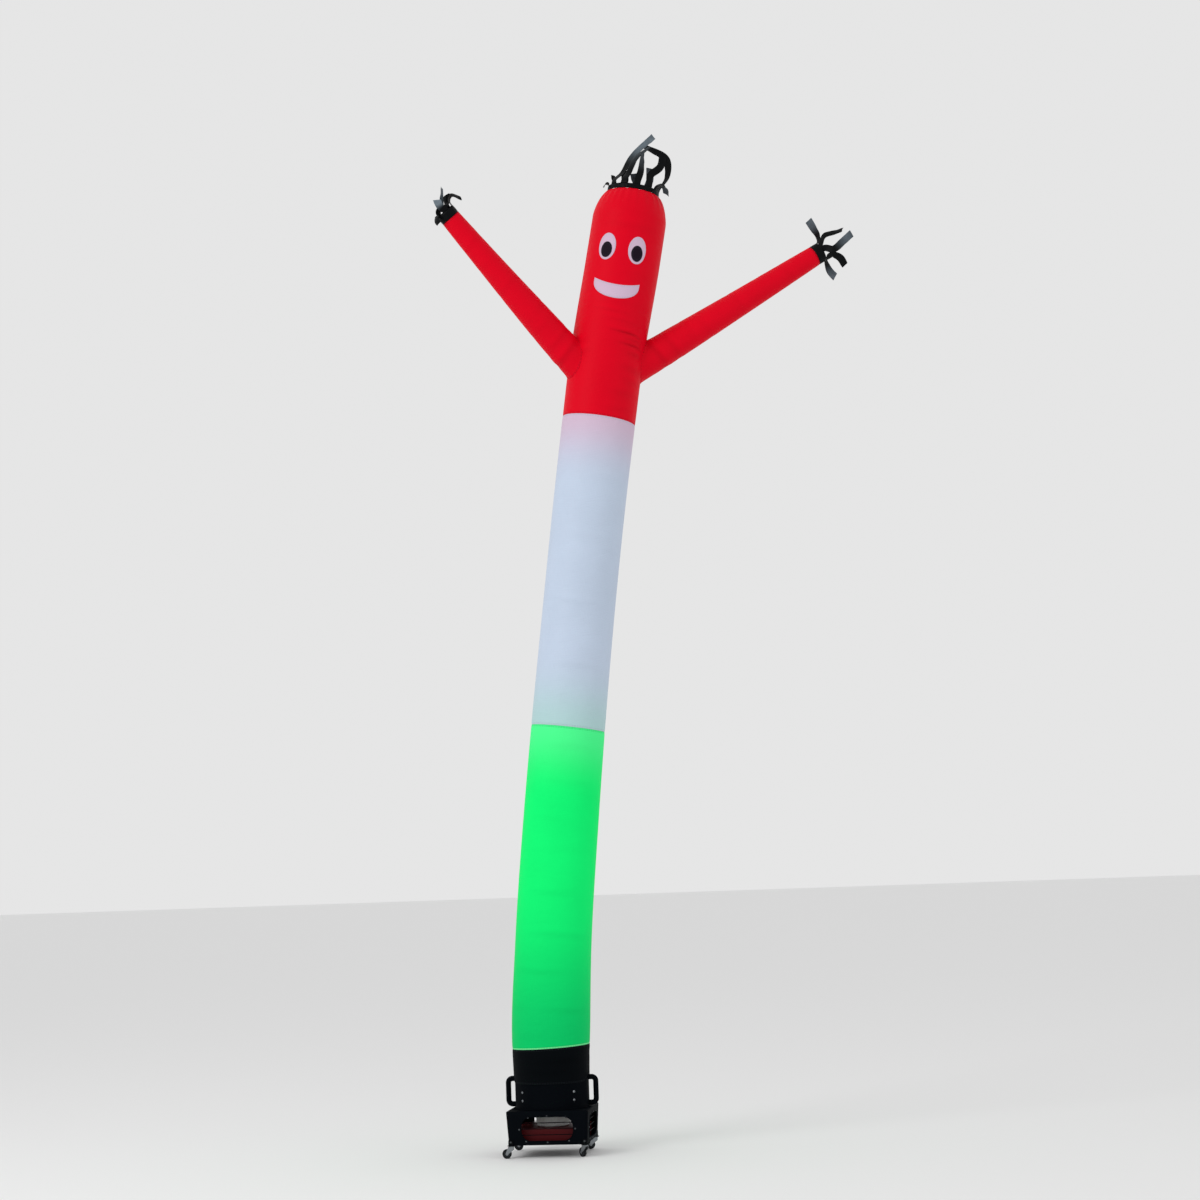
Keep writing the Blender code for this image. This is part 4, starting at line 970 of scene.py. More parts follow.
@dataclass
class RedPanel(ClothPanel):
    """The torso and head: a sleeve that ends in a rounded shoulder round the open top."""

    shoulder: float = SHOULDER
    cut_width: float = 1.41
    dome_cut: float = 0.115
    dome_steps: int = 24
    dome_power: float = 4 / 3
    pleat: float = 0.0022
    pleats: int = 26

    def surface(self) -> Surface:
        """The sleeve and its shoulder.

        Rows run up to the shoulder. From there height grows with sin t and radius shrinks with
        cos t, both raised to the dome's power, which slopes more evenly than a quarter ellipse.

        Returns:
            The surface, marked with seam distance and fold depth.
        """
        rows = rows_between((self.low + self.seam_gap, self.shoulder), self.pitch)[:-1]
        turn = np.linspace(0.0, math.pi / 2, self.dome_steps)
        wide = self.form.radius_at(self.shoulder)
        dome_rows = self.shoulder + (self.high - self.shoulder) * np.sin(turn) ** self.dome_power
        dome = HEAD_OPENING + (wide - HEAD_OPENING) * np.maximum(np.cos(turn), 0.0) ** self.dome_power
        angle = angles_round(self.columns)
        a, h = np.meshgrid(angle, np.concatenate((rows, dome_rows)))
        _, r = np.meshgrid(angle, np.concatenate((self.form.lean.read(2, rows), dome)))
        # The dome's cloth gathers towards the opening in shallow uneven pleats
        waves = np.sin(self.pleats * a + 1.6 * np.sin(3 * a))
        gather = ease(self.shoulder, self.high, h) * self.pleat * waves
        cut = np.concatenate((rows, self.shoulder + turn * self.dome_cut))
        seam = np.minimum(h - self.low, np.hypot(r - HEAD_OPENING, self.high - h))
        return grid(self.form.point(a, h, gather, r), round_columns=True,
                    uv=flat_cloth(self.cut_width, cut, self.columns), seam=seam,
                    fold=self.form.sunk(a, h) / DEEP_FOLD)


# ---- The arms ----------------------------------------------------------------------------------
@dataclass
class Arm:
    """A tapering cloth sleeve, sewn to the torso and open at the hand.

    Attributes:
        side: Its name.
        height: The height on the tube's middle line that it points back to.
        tip: Its tip's middle, aside, back and up.
        root_radius: Its radius where it leaves the tube.
        tip_radius: Its radius at the tip.
        sag: How far its middle hangs down.
        form: The tube that it leaves.
    """

    side: str
    height: float
    tip: tuple[float, float, float]
    root_radius: float
    tip_radius: float
    sag: float
    form: TubeForm
    taper_from: float = 0.06
    taper: float = 1.3
    columns: int = 96
    rows: int = 130
    row_pace: float = 1.15
    cloth: float = CLOTH
    root_overlap: float = 0.003
    flare: float = 0.008
    flare_reach: float = 0.012
    oval: float = 0.0012
    root_pucker: float = 0.0022
    tip_pucker: float = 0.0012
    pucker_reach: float = 0.030
    fold_width: float = 0.020
    fold_slant: float = 0.012
    behind_skin: float = 0.20
    # (share of its length, depth, angle of its middle)
    folds: tuple[tuple[float, float, float], ...] = (
        (0.205, 0.0020, 2.2), (0.235, 0.0030, 4.4), (0.270, 0.0015, 1.2), (0.31, 0.0018, 5.2),
        (0.385, 0.0010, 3.4), (0.47, 0.0009, 5.8), (0.62, 0.0011, 4.0), (0.74, 0.0007, 2.6),
        (0.86, 0.0009, 4.8),
    )

    def __post_init__(self) -> None:
        """Works out its start, its length and its three directions."""
        self.start = self.form.middle(np.array(self.height))
        end = ASIDE * self.tip[0] + BACK * self.tip[1] + UP * self.tip[2]
        self.length = float(np.linalg.norm(end - self.start))
        self.along = (end - self.start) / self.length
        self.across = unit(np.cross(BACK, self.along))
        self.back = np.cross(self.along, self.across)

    def radius(self, share: Array) -> Array:
        """Its radius: even until a little outside the tube, then in a taper that quickens to the tip.

        Args:
            share: Shares of its length.

        Returns:
            The radii.
        """
        root = (self.form.radius_at(self.height) + self.taper_from) / self.length
        taper = np.clip((share - root) / (1 - root), 0.0, 1.0) ** self.taper
        return self.root_radius + (self.tip_radius - self.root_radius) * taper

    def place(self, angle: Array, share: Array, radius: Array) -> Array:
        """Places on a circle about its sagging middle line, which bows by sag sin(pi share).

        Args:
            angle: Angles round the sleeve.
            share: Shares of its length, of the same shape.
            radius: Radii, of the same shape.

        Returns:
            The places, with a last axis of three.
        """
        middle = self.start + self.along * (self.length * share)[..., None]
        middle = middle - UP * (self.sag * np.sin(math.pi * share))[..., None]
        out = self.across * np.cos(angle)[..., None] + self.back * np.sin(angle)[..., None]
        return middle + out * radius[..., None]

    def root_shares(self, angle: Array) -> Array:
        """Where the sleeve meets the torso.

        Of many shares along the sleeve, the first that lies outside the tube is found at each
        angle, and the meeting place is read off between it and the one before.

        Args:
            angle: Angles round the sleeve.

        Returns:
            The share of its length at each of them.
        """
        tries = np.linspace(0.0, 0.6, 400)
        a, s = np.meshgrid(angle, tries)
        away = self.form.outside(self.place(a, s, self.radius(s))) + self.root_overlap
        first = np.argmax(away > 0, axis=0)
        before = np.take_along_axis(away, (first - 1)[None], axis=0)[0]
        after = np.take_along_axis(away, first[None], axis=0)[0]
        return tries[first - 1] + (tries[1] - tries[0]) * before / (before - after)

    def surface(self) -> Surface:
        """The sleeve from the torso's surface to the hand.

        Its radius flares out and puckers within some 30 mm of its root, puckers less at the hand,
        and is drawn in by slanting folds that fade out over half a turn to either side.

        Returns:
            The surface, marked with seam distance and fold depth.
        """
        angle = angles_round(self.columns)
        roots = self.root_shares(angle)
        pace = np.linspace(0.0, 1.0, self.rows) ** self.row_pace
        a, t = np.meshgrid(angle, pace)
        s = roots[None] + (1 - roots[None]) * t
        from_root, to_tip = (s - roots[None]) * self.length, (1 - s) * self.length
        sunk = np.zeros_like(s)
        for at, depth, side in self.folds:
            across = (s - at - self.fold_slant * np.sin(a - side)) * self.length / self.fold_width
            sunk = sunk + depth * (0.5 + 0.5 * np.cos(a - side)) * trough(across)
        waves = 0.5 + 0.5 * np.sin(19 * a + 1.7 * np.sin(2 * a))
        pucker = (self.root_pucker * np.exp(-from_root / self.pucker_reach)
                  + self.tip_pucker * np.exp(-to_tip / self.pucker_reach))
        radius = self.radius(s) + self.oval * np.sin(2 * a + 7 * s)
        radius = radius + self.flare * np.exp(-from_root / self.flare_reach) - sunk - waves * pucker
        uv = flat_cloth(math.tau * self.root_radius, pace * self.length, self.columns)
        return grid(self.place(a, s, radius), round_columns=True, uv=uv,
                    seam=np.minimum(from_root, to_tip), fold=sunk / DEEP_FOLD)

    def make(self, bench: Bench) -> None:
        """Args:
            bench: Where it is made.
        """
        piece = thicken(bench.build(f"arm_{self.side}_cloth", [self.surface()]), self.cloth)
        bench.fit(piece, RED_NYLON, stands_for=[f"arm_{self.side}"])


# ---- The face ----------------------------------------------------------------------------------
@dataclass
class Face:
    """Two round eyes and a wide smile, each a cloth patch sewn onto the head."""

    form: TubeForm
    at: float = math.radians(-92.5)
    eye_spread: float = math.radians(24.2)
    eye_height: float = 5.340
    eye_size: tuple[float, float] = (0.113, 0.164)
    pupil_height: float = 5.320
    pupil_size: tuple[float, float] = (0.072, 0.096)
    mouth_height: float = 5.147
    mouth_spread: float = math.radians(37.5)
    mouth_sag: float = 0.030
    mouth_end: float = 0.024
    mouth_depth: float = 0.112
    mouth_corner: float = 0.15
    mouth_fill: float = 0.65
    eye_lift: float = 0.0008
    pupil_lift: float = 0.0026
    swell: float = 0.0007
    swell_reach: float = 0.003
    cloth: float = CLOTH

    def patch(self, bench: Bench, name: str, node: str, finish: CoatedNylon, slot: str,
              angle: Array, height: Array, edge: Array, lift: float, size: tuple[float, float],
              area: float) -> None:
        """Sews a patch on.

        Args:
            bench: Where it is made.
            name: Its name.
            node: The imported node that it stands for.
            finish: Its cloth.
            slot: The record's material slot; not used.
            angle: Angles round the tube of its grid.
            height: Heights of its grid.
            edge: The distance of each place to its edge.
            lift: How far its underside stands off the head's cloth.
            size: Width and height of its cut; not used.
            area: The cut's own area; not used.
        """
        uv = np.stack((angle * self.form.radius_at(self.eye_height), height), axis=-1)
        rise = lift + self.swell * ease(0.0, self.swell_reach, edge)
        surface = grid(self.form.point(angle, height, rise), uv=uv, seam=edge)
        piece = thicken(bench.build(name, [surface]), self.cloth, 1.0)
        bench.fit(piece, finish, stands_for=[node])

    def oval(self, at: float, height: float, size: tuple[float, float],
             steps: int) -> tuple[Array, Array, Array]:
        """Maps a square onto an oval.

        A place (a, b) of the square goes to a sqrt(1 - b^2 / 2) and b sqrt(1 - a^2 / 2) of the half
        width and half height.

        Args:
            at: The angle of its middle.
            height: The height of its middle.
            size: Its width and height.
            steps: Places along each side of the square.

        Returns:
            Angles, heights and distances to the edge.
        """
        square = np.linspace(-1, 1, steps)
        b, a = np.meshgrid(square, square, indexing="ij")
        x, y = a * np.sqrt(1 - b * b / 2), b * np.sqrt(1 - a * a / 2)
        edge = (1 - np.hypot(x, y)) * min(size) / 2
        wide = size[0] / 2 / self.form.radius_at(height)
        return at + x * wide, height + y * size[1] / 2, np.maximum(edge, 0.0)

    def make_eyes(self, bench: Bench) -> None:
        """Builds the eyes and, on them, the pupils.

        Args:
            bench: Where they are made.
        """
        for side, sign in (("left", -1), ("right", 1)):
            at = self.at + sign * self.eye_spread
            for name, node, finish, slot, height, size, lift, steps in (
                (f"eye_patch_{side}", f"eye_white_{side}", WHITE_PATCH, "patch_white",
                 self.eye_height, self.eye_size, self.eye_lift, 45),
                (f"pupil_patch_{side}", f"pupil_{side}", BLACK_PATCH, "patch_black",
                 self.pupil_height, self.pupil_size, self.pupil_lift, 33),
            ):
                self.patch(bench, name, node, finish, slot, *self.oval(at, height, size, steps),
                           lift, size, math.pi / 4 * size[0] * size[1])

    def make_smile(self, bench: Bench) -> None:
        """Builds the smile.

        On its grid a runs from corner to corner and b from the lower edge to the upper one. The
        upper edge is a parabola, and the lower one half an ellipse that starts at blunt corners.

        Args:
            bench: Where it is made.
        """
        across = np.sin(np.linspace(-1, 1, 97) * math.pi / 2)
        b, a = np.meshgrid(np.linspace(0, 1, 25), across, indexing="ij")
        upper = -self.mouth_sag * (1 - a * a)
        lower = -self.mouth_end - (self.mouth_depth - self.mouth_end) * np.sqrt(1 - a * a)
        height = self.mouth_height + lower + (upper - lower) * b
        edge = np.minimum(np.minimum(b, 1 - b) * (upper - lower), (1 - np.abs(a)) * self.mouth_corner)
        width = 2 * self.mouth_spread * self.form.radius_at(self.mouth_height)
        self.patch(bench, "smile_patch", "mouth", WHITE_PATCH, "patch_white",
                   self.at + a * self.mouth_spread, height, edge, self.eye_lift,
                   (round(width, 3), self.mouth_depth), self.mouth_fill * width * self.mouth_depth)

    def make(self, bench: Bench) -> None:
        """Builds the eyes, the pupils and the smile."""
        self.make_eyes(bench)
        self.make_smile(bench)


# ---- The ribbons -------------------------------------------------------------------------------
@dataclass(frozen=True)
class Ribbon:
    """A ribbon: the band's side that it grows from, three places it passes, its turn and its painted
    reflection.
    """

    side: int
    bend: tuple[float, float, float]
    upper: tuple[float, float, float]
    tip: tuple[float, float, float]
    turn: float
    # How much painted sky reflection it carries
    shine: float = 0.0


HAIR = (
    Ribbon(14, (-0.062, -0.080, 0.118), (-0.004, -0.065, 0.215), (0.139, -0.030, 0.356), 35.0, 0.62),
    Ribbon(16, (-0.024, -0.118, 0.106), (0.029, -0.108, 0.204), (0.107, -0.100, 0.266), -30.0, 0.15),
    Ribbon(18, (0.049, -0.152, 0.099), (0.060, -0.150, 0.162), (0.068, -0.146, 0.222), 62.0, 0.2),
    Ribbon(20, (0.103, -0.122, 0.075), (0.172, -0.116, 0.140), (0.190, -0.114, 0.212), -30.0),
    Ribbon(22, (0.167, -0.080, 0.027), (0.191, -0.098, 0.009), (0.199, -0.116, -0.039), -15.0, 0.15),
    Ribbon(0, (0.215, 0.012, 0.111), (0.215, 0.022, 0.218), (0.086, 0.024, 0.311), 120.0),
    Ribbon(2, (0.168, 0.095, 0.083), (0.190, 0.102, 0.088), (0.207, 0.106, 0.053), 10.0),
    Ribbon(4, (0.112, 0.136, 0.138), (0.113, 0.128, 0.168), (0.114, 0.112, 0.198), 25.0, 0.35),
    Ribbon(6, (0.026, 0.146, 0.125), (0.017, 0.136, 0.148), (0.012, 0.120, 0.172), 15.0, 0.2),
    Ribbon(8, (-0.042, 0.120, 0.133), (-0.042, 0.110, 0.155), (-0.034, 0.100, 0.184), -20.0),
    Ribbon(10, (-0.108, 0.052, 0.103), (-0.114, 0.046, 0.120), (-0.116, 0.040, 0.140), 0.0),
    Ribbon(12, (-0.152, -0.020, 0.073), (-0.164, -0.024, 0.071), (-0.177, -0.028, 0.050), 0.0),
)
HAND_LEFT = (
    Ribbon(1, (-0.018, 0.046, 0.107), (-0.023, 0.052, 0.131), (-0.025, 0.058, 0.155), 15.0),
    Ribbon(3, (-0.055, 0.032, 0.083), (-0.050, 0.022, 0.132), (-0.046, 0.014, 0.191), 40.0, 0.6),
    Ribbon(5, (-0.080, -0.038, -0.008), (-0.079, -0.042, -0.026), (-0.064, -0.046, -0.046), 0.0),
    Ribbon(7, (-0.040, -0.078, 0.036), (-0.062, -0.086, 0.063), (-0.071, -0.092, 0.086), 0.0, 0.9),
    Ribbon(9, (-0.003, -0.034, 0.091), (0.006, -0.036, 0.124), (0.068, -0.038, 0.106), 0.0),
)
HAND_RIGHT = (
    Ribbon(1, (0.083, 0.068, -0.036), (0.100, 0.072, -0.079), (0.132, 0.068, -0.120), 100.0, 0.55),
    Ribbon(3, (0.077, 0.056, 0.144), (0.140, 0.056, 0.161), (0.190, 0.056, 0.176), 35.0),
    Ribbon(5, (0.024, -0.022, 0.124), (0.002, -0.026, 0.165), (-0.028, -0.030, 0.220), 80.0, 0.42),
    Ribbon(7, (0.112, -0.064, 0.024), (0.176, -0.062, 0.072), (0.232, -0.058, 0.121), -10.0, 0.45),
    Ribbon(9, (0.106, -0.030, -0.002), (0.154, -0.030, -0.021), (0.185, -0.030, -0.072), -110.0),
)


@dataclass
class RibbonBand:
    """A band round a cloth opening with the ribbons that grow from its rim.

    Attributes:
        name: The piece's name.
        node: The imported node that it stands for.
        middle: The middle of the band's lower edge.
        aside: The direction of its first side.
        back: The direction a quarter turn on.
        along: The direction that it stands up in.
        radius: Its radius.
        height: Its height.
        sides: How many sides its rim counts.
        ribbons: Its ribbons.
    """

    name: str
    node: str
    middle: Array
    aside: Array
    back: Array
    along: Array
    radius: float
    height: float
    sides: int
    ribbons: tuple[Ribbon, ...]
    width: float = 0.046
    steps: int = 42
    across: int = 7
    collar_rows: int = 6
    tape: float = CLOTH
    stand: float = 0.012
    narrowing: float = 7.0
    flutter: float = 0.0016
    flutter_wave: float = 0.055
    arch: float = 0.0040
    slants: tuple[float, float] = (-0.014, 0.010)
    # Shares of a ribbon's length over which its painted reflection grows
    painted_reflection_share: tuple[float, float] = (0.35, 0.80)
    gather: float = 0.0012

    def strip(self, k: int, ribbon: Ribbon) -> tuple[Surface, float]:
        """One ribbon.

        Its middle line is the smooth curve from the rim through its three places. Its cross
        direction is carried along that line without twist and then turned evenly, and its cross
        section is a shallow arch that flutters.

        Args:
            k: Its number, which shifts its flutter.
            ribbon: Its row.

        Returns:
            Its surface and its length.
        """
        half = math.pi / self.sides
        angle = (2 * ribbon.side + 1) * half
        out = self.aside * math.cos(angle) + self.back * math.sin(angle)
        root = self.middle + self.along * self.height + out * self.radius * math.cos(half)
        stops = [root, root + self.along * self.stand]
        stops += [self.middle + ASIDE * p[0] + BACK * p[1] + UP * p[2]
                  for p in (ribbon.bend, ribbon.upper, ribbon.tip)]
        lengths = np.concatenate(([0.0], np.cumsum(np.linalg.norm(np.diff(stops, axis=0), axis=1))))
        length = float(lengths[-1])
        table = SmoothTable(tuple((at, *stop) for at, stop in zip(lengths, stops)))
        share = np.linspace(0.0, 1.0, self.steps)
        line = np.stack([table.read(c, share * length) for c in (1, 2, 3)], axis=-1)
        ahead = unit(np.gradient(line, axis=0))
        cross = np.empty_like(line)
        cross[0] = -self.aside * math.sin(angle) + self.back * math.cos(angle)
        turn = math.radians(ribbon.turn) / (self.steps - 1)
        for step in range(1, self.steps):
            flat = unit(cross[step - 1] - ahead[step] * (cross[step - 1] @ ahead[step]))
            cross[step] = flat * math.cos(turn) + np.cross(ahead[step], flat) * math.sin(turn)
        cross = unit(cross - ahead * np.sum(cross * ahead, axis=1, keepdims=True))
        side = 2 * self.radius * math.sin(half)
        size = self.width + (side - self.width) * 2.0 ** (-self.narrowing * share)
        place = np.linspace(-0.5, 0.5, self.across)
        flutter = self.flutter * np.sin(math.tau * share * length / self.flutter_wave + 1.7 * k) * share
        arch = self.arch * share[:, None] * (1 - 4 * place[None] ** 2) * (1 if k % 2 else -1)
        rise = flutter[:, None] * (0.4 + 1.2 * place[None]) + arch
        slant = ease(0.9, 1.0, share)[:, None] * place[None] * self.slants[bool(k % 3)]
        points = (line[:, None] + cross[:, None] * (size[:, None] * place[None])[..., None]
                  + np.cross(cross, ahead)[:, None] * rise[..., None] + ahead[:, None] * slant[..., None])
        v, u = np.meshgrid(share * length, place * self.width, indexing="ij")
        # Painted sky reflection, as strong as the ribbon's own share and growing over its outer part
        shine = ribbon.shine * np.broadcast_to(ease(*self.painted_reflection_share, share)[:, None], points.shape[:2])
        return grid(points, uv=np.stack((u, v), axis=-1), shine=shine), length

    def collar(self) -> Surface:
        """The band itself, a ring with shallow gathers that are deepest half way up.

        Returns:
            The surface, without painted reflection.
        """
        columns = self.sides * 6
        rows = np.linspace(0.0, self.height, self.collar_rows)
        a, up = np.meshgrid(angles_round(columns), rows)
        bulge = 1 - (2 * up / self.height - 1) ** 2
        radius = self.radius + self.gather * np.sin(self.sides * 2 * a + np.sin(2 * a)) * bulge
        out = self.aside * np.cos(a)[..., None] + self.back * np.sin(a)[..., None]
        points = self.middle + self.along * up[..., None] + out * radius[..., None]
        return grid(points, round_columns=True, uv=flat_cloth(math.tau * self.radius, rows, columns),
                    shine=np.zeros_like(a))

    def make(self, bench: Bench) -> None:
        """Args:
            bench: Where it is made.
        """
        strips = [self.strip(k, ribbon) for k, ribbon in enumerate(self.ribbons)]
        surfaces = [self.collar(), *(surface for surface, _ in strips)]
        piece = thicken(bench.build(self.name, surfaces), self.tape)
        piece.modifiers["cloth"].use_even_offset = False
        bench.fit(piece, BLACK_TAPE, stands_for=[self.node])


# ---- The blower --------------------------------------------------------------------------------
def screws(places: Array, facing: Array, radius: float, height: float) -> list[Surface]:
    """Domed screw heads with a flange and a socket.

    Each is a profile turned about its own axis: a flange, a flattened dome and a sunk socket.

    Args:
        places: Where they sit, as n x 3.
        facing: Their outward directions, as n x 3.
        radius: The flange's radius.
        height: How far the dome stands out.

    Returns:
        One surface a screw.
    """
    profile = (
        (0.0, -0.0004), (radius, -0.0004), (radius, 0.22 * height), (0.78 * radius, 0.30 * height),
        (0.70 * radius, 0.70 * height), (0.45 * radius, height), (0.30 * radius, height),
        (0.26 * radius, 0.55 * height), (0.0, 0.50 * height),
    )
    head = revolved(profile, 14)
    made = []
    for place, out in zip(places, unit(np.asarray(facing, float))):
        side = unit(np.cross(UP if abs(out[2]) < 0.9 else EAST, out))
        made.append(head.moved(np.stack((side, np.cross(out, side), out)), place))
    return made


class Side(Enum):
    """The housing's four walls, as quarter turns from the front."""

    FRONT = 0
    RIGHT = 1
    BACK = 2
    LEFT = 3

    @property
    def turn(self) -> Array:
        """The rows of the turn that brings the front wall to this one."""
        return turn_about_up(self.value * math.pi / 2)


@dataclass
class Housing:
    """The square housing with a window in each wall and a round throat in its top."""

    bottom: float = 0.074
    top: float = 0.268
    width_bottom: float = 0.458
    width_top: float = 0.480
    corner: float = 0.020
    corner_loss: float = 0.7
    edge: float = 0.006
    wall: float = 0.006
    wall_slope: float = 0.057
    throat: float = 0.205
    throat_cut: float = 0.03
    window: tuple[float, float] = (0.300, 0.134)
    window_corner: float = 0.055
    window_height: float = 0.166
    corner_steps: int = 10
    # (outwards from the window's outline, out of the wall)
    lip: tuple[tuple[float, float], ...] = (
        (0.0, -0.002), (0.0050, -0.002), (0.0056, 0.0012), (0.0040, 0.0030), (0.0016, 0.0030), (0.0, 0.0012),
    )
    guard: tuple[float, float] = (0.330, 0.160)
    guard_corner: float = 0.066
    guard_depth: float = 0.2215
    guard_rim: float = 0.012
    guard_flat: float = 0.002
    guard_bars: int = 3
    guard_wire: float = 0.0024
    screw: tuple[float, float] = (0.0052, 0.0032)
    # (x, z) on the front wall, where the photograph shows them
    screw_spots: tuple[tuple[float, float], ...] = (
        (-0.110, 0.232), (0.0, 0.238), (0.110, 0.232), (-0.163, 0.165), (0.163, 0.165), (-0.125, 0.097),
        (0.0, 0.091), (0.125, 0.097),
    )

    def half(self, height: Array) -> Array:
        """Half the housing's width at each height; its walls lean out evenly."""
        share = (np.asarray(height, float) - self.bottom) / (self.top - self.bottom)
        return (self.width_bottom + (self.width_top - self.width_bottom) * share) / 2

    def block(self, inset: float, edge: float) -> Surface:
        """The housing's outline at every row: round corners, leaning walls and rounded edges.

        Args:
            inset: How far it lies inside the housing's faces.
            edge: Radius of its edges, or 0 for sharp ones.

        Returns:
            The closed surface.
        """
        turn = np.linspace(0.0, math.pi / 2, 5) if edge else np.zeros(1)
        rise, draw = edge * (1 - np.cos(turn)), edge * (1 - np.sin(turn))
        heights = np.concatenate((self.bottom + inset + rise, self.top - inset - draw))
        insets = np.concatenate((draw, rise)) + inset
        rings = []
        for height, drawn in zip(heights, insets):
            width = 2 * (float(self.half(height)) - drawn)
            outline = round_rectangle(width, width, self.corner - inset * self.corner_loss)
            rings.append(np.column_stack((outline, np.full(len(outline), height))))
        return grid(capped(np.stack(rings)), round_columns=True)

    def upright(self, width: float, height: float, radius: float) -> Array:
        """The places along a rounded rectangle that stands in the plane of X and Z."""
        outline = round_rectangle(width, height, radius, self.corner_steps)
        return np.column_stack((outline[:, 0], np.zeros(len(outline)), outline[:, 1]))

    def make_shell(self, bench: Bench) -> None:
        """Builds the hollow housing, with its windows and its throat cut through.

        Args:
            bench: Where it is made.
        """
        outline = round_rectangle(*self.window, self.window_corner, self.corner_steps)
        tunnel = prism(outline, -self.width_top, self.width_top)
        low, high = self.top - self.throat_cut, self.top + self.throat_cut
        cuts = [self.block(self.wall, 0.0)]
        cuts += [tunnel.moved(np.stack(rows), UP * self.window_height)
                 for rows in ((EAST, UP, -NORTH), (NORTH, UP, EAST))]
        cuts += [revolved(((0.0, low), (self.throat, low), (self.throat, high), (0.0, high)), 72)]
        shell = bench.build("housing", [self.block(0.0, self.edge)])
        bench.carve(shell, [bench.build(f"cut_{k}", [cut]) for k, cut in enumerate(cuts)])
        bench.fit(shell, HOUSING, stands_for=["blower_base"])

    def make_lips(self, bench: Bench) -> None:
        """Builds a raised lip round each window: a section carried round the window's outline.

        Args:
            bench: Where they are made.
        """
        path = self.upright(*self.window, self.window_corner)
        flat = carried(path, np.array(self.lip), -NORTH, closed=True)
        z = flat.points[:, 2] + self.window_height
        points = np.column_stack((flat.points[:, 0], flat.points[:, 1] - self.half(z), z))
        lip = Surface(points, flat.faces, flat.uv, flat.marks)
        bench.add("window_lips", [lip.moved(side.turn) for side in Side], HOUSING, "housing_black")

    def make_guards(self, bench: Bench) -> None:
        """Builds a flat rim behind each window with round bars welded across it.

        Args:
            bench: Where they are made.
        """
        width, height = self.guard
        rim = self.guard_rim
        path = self.upright(width - rim, height - rim, self.guard_corner - rim / 2)
        parts = [carried(path, round_rectangle(rim, self.guard_flat, 0.0006, 2), -NORTH, closed=True)]
        inside, corner = height / 2 - rim, self.guard_corner - rim
        for bar in range(self.guard_bars):
            z = -inside + (bar + 1) * 2 * inside / (self.guard_bars + 1)
            drop = max(0.0, abs(z) - (inside - corner))
            reach = width / 2 - rim - corner + math.sqrt(corner**2 - drop**2) + rim / 2
            line = np.array(((-reach, 0.0, z), (0.0, 0.0, z), (reach, 0.0, z)))
            parts.append(carried(line, disc(self.guard_wire, 12), -NORTH, closed=False))
        place = np.array((0.0, -self.guard_depth, self.window_height))
        for side in Side:
            node = f"guard_{side.name.lower()}"
            turned = [part.moved(side.turn, place @ side.turn) for part in parts]
            bench.add(f"{node}_wire", turned, BLACK_POWDER, "guard_black", stands_for=[node])

    def make_screws(self, bench: Bench) -> None:
        """Builds the screws round each window.

        Args:
            bench: Where they are made.
        """
        x, z = np.array(self.screw_spots).T
        places = np.stack((x, -self.half(z), z), axis=-1)
        heads = screws(places, np.tile((0.0, -1.0, -self.wall_slope), (len(x), 1)), *self.screw)
        turned = [head.moved(side.turn) for side in Side for head in heads]
        bench.add("window_screws", turned, DARK_ZINC, "caster_steel")

    def make(self, bench: Bench) -> None:
        """Builds the shell, the window lips, the guards and the screws.

        Args:
            bench: Where they are made.
        """
        self.make_shell(bench)
        self.make_lips(bench)
        self.make_guards(bench)
        self.make_screws(bench)


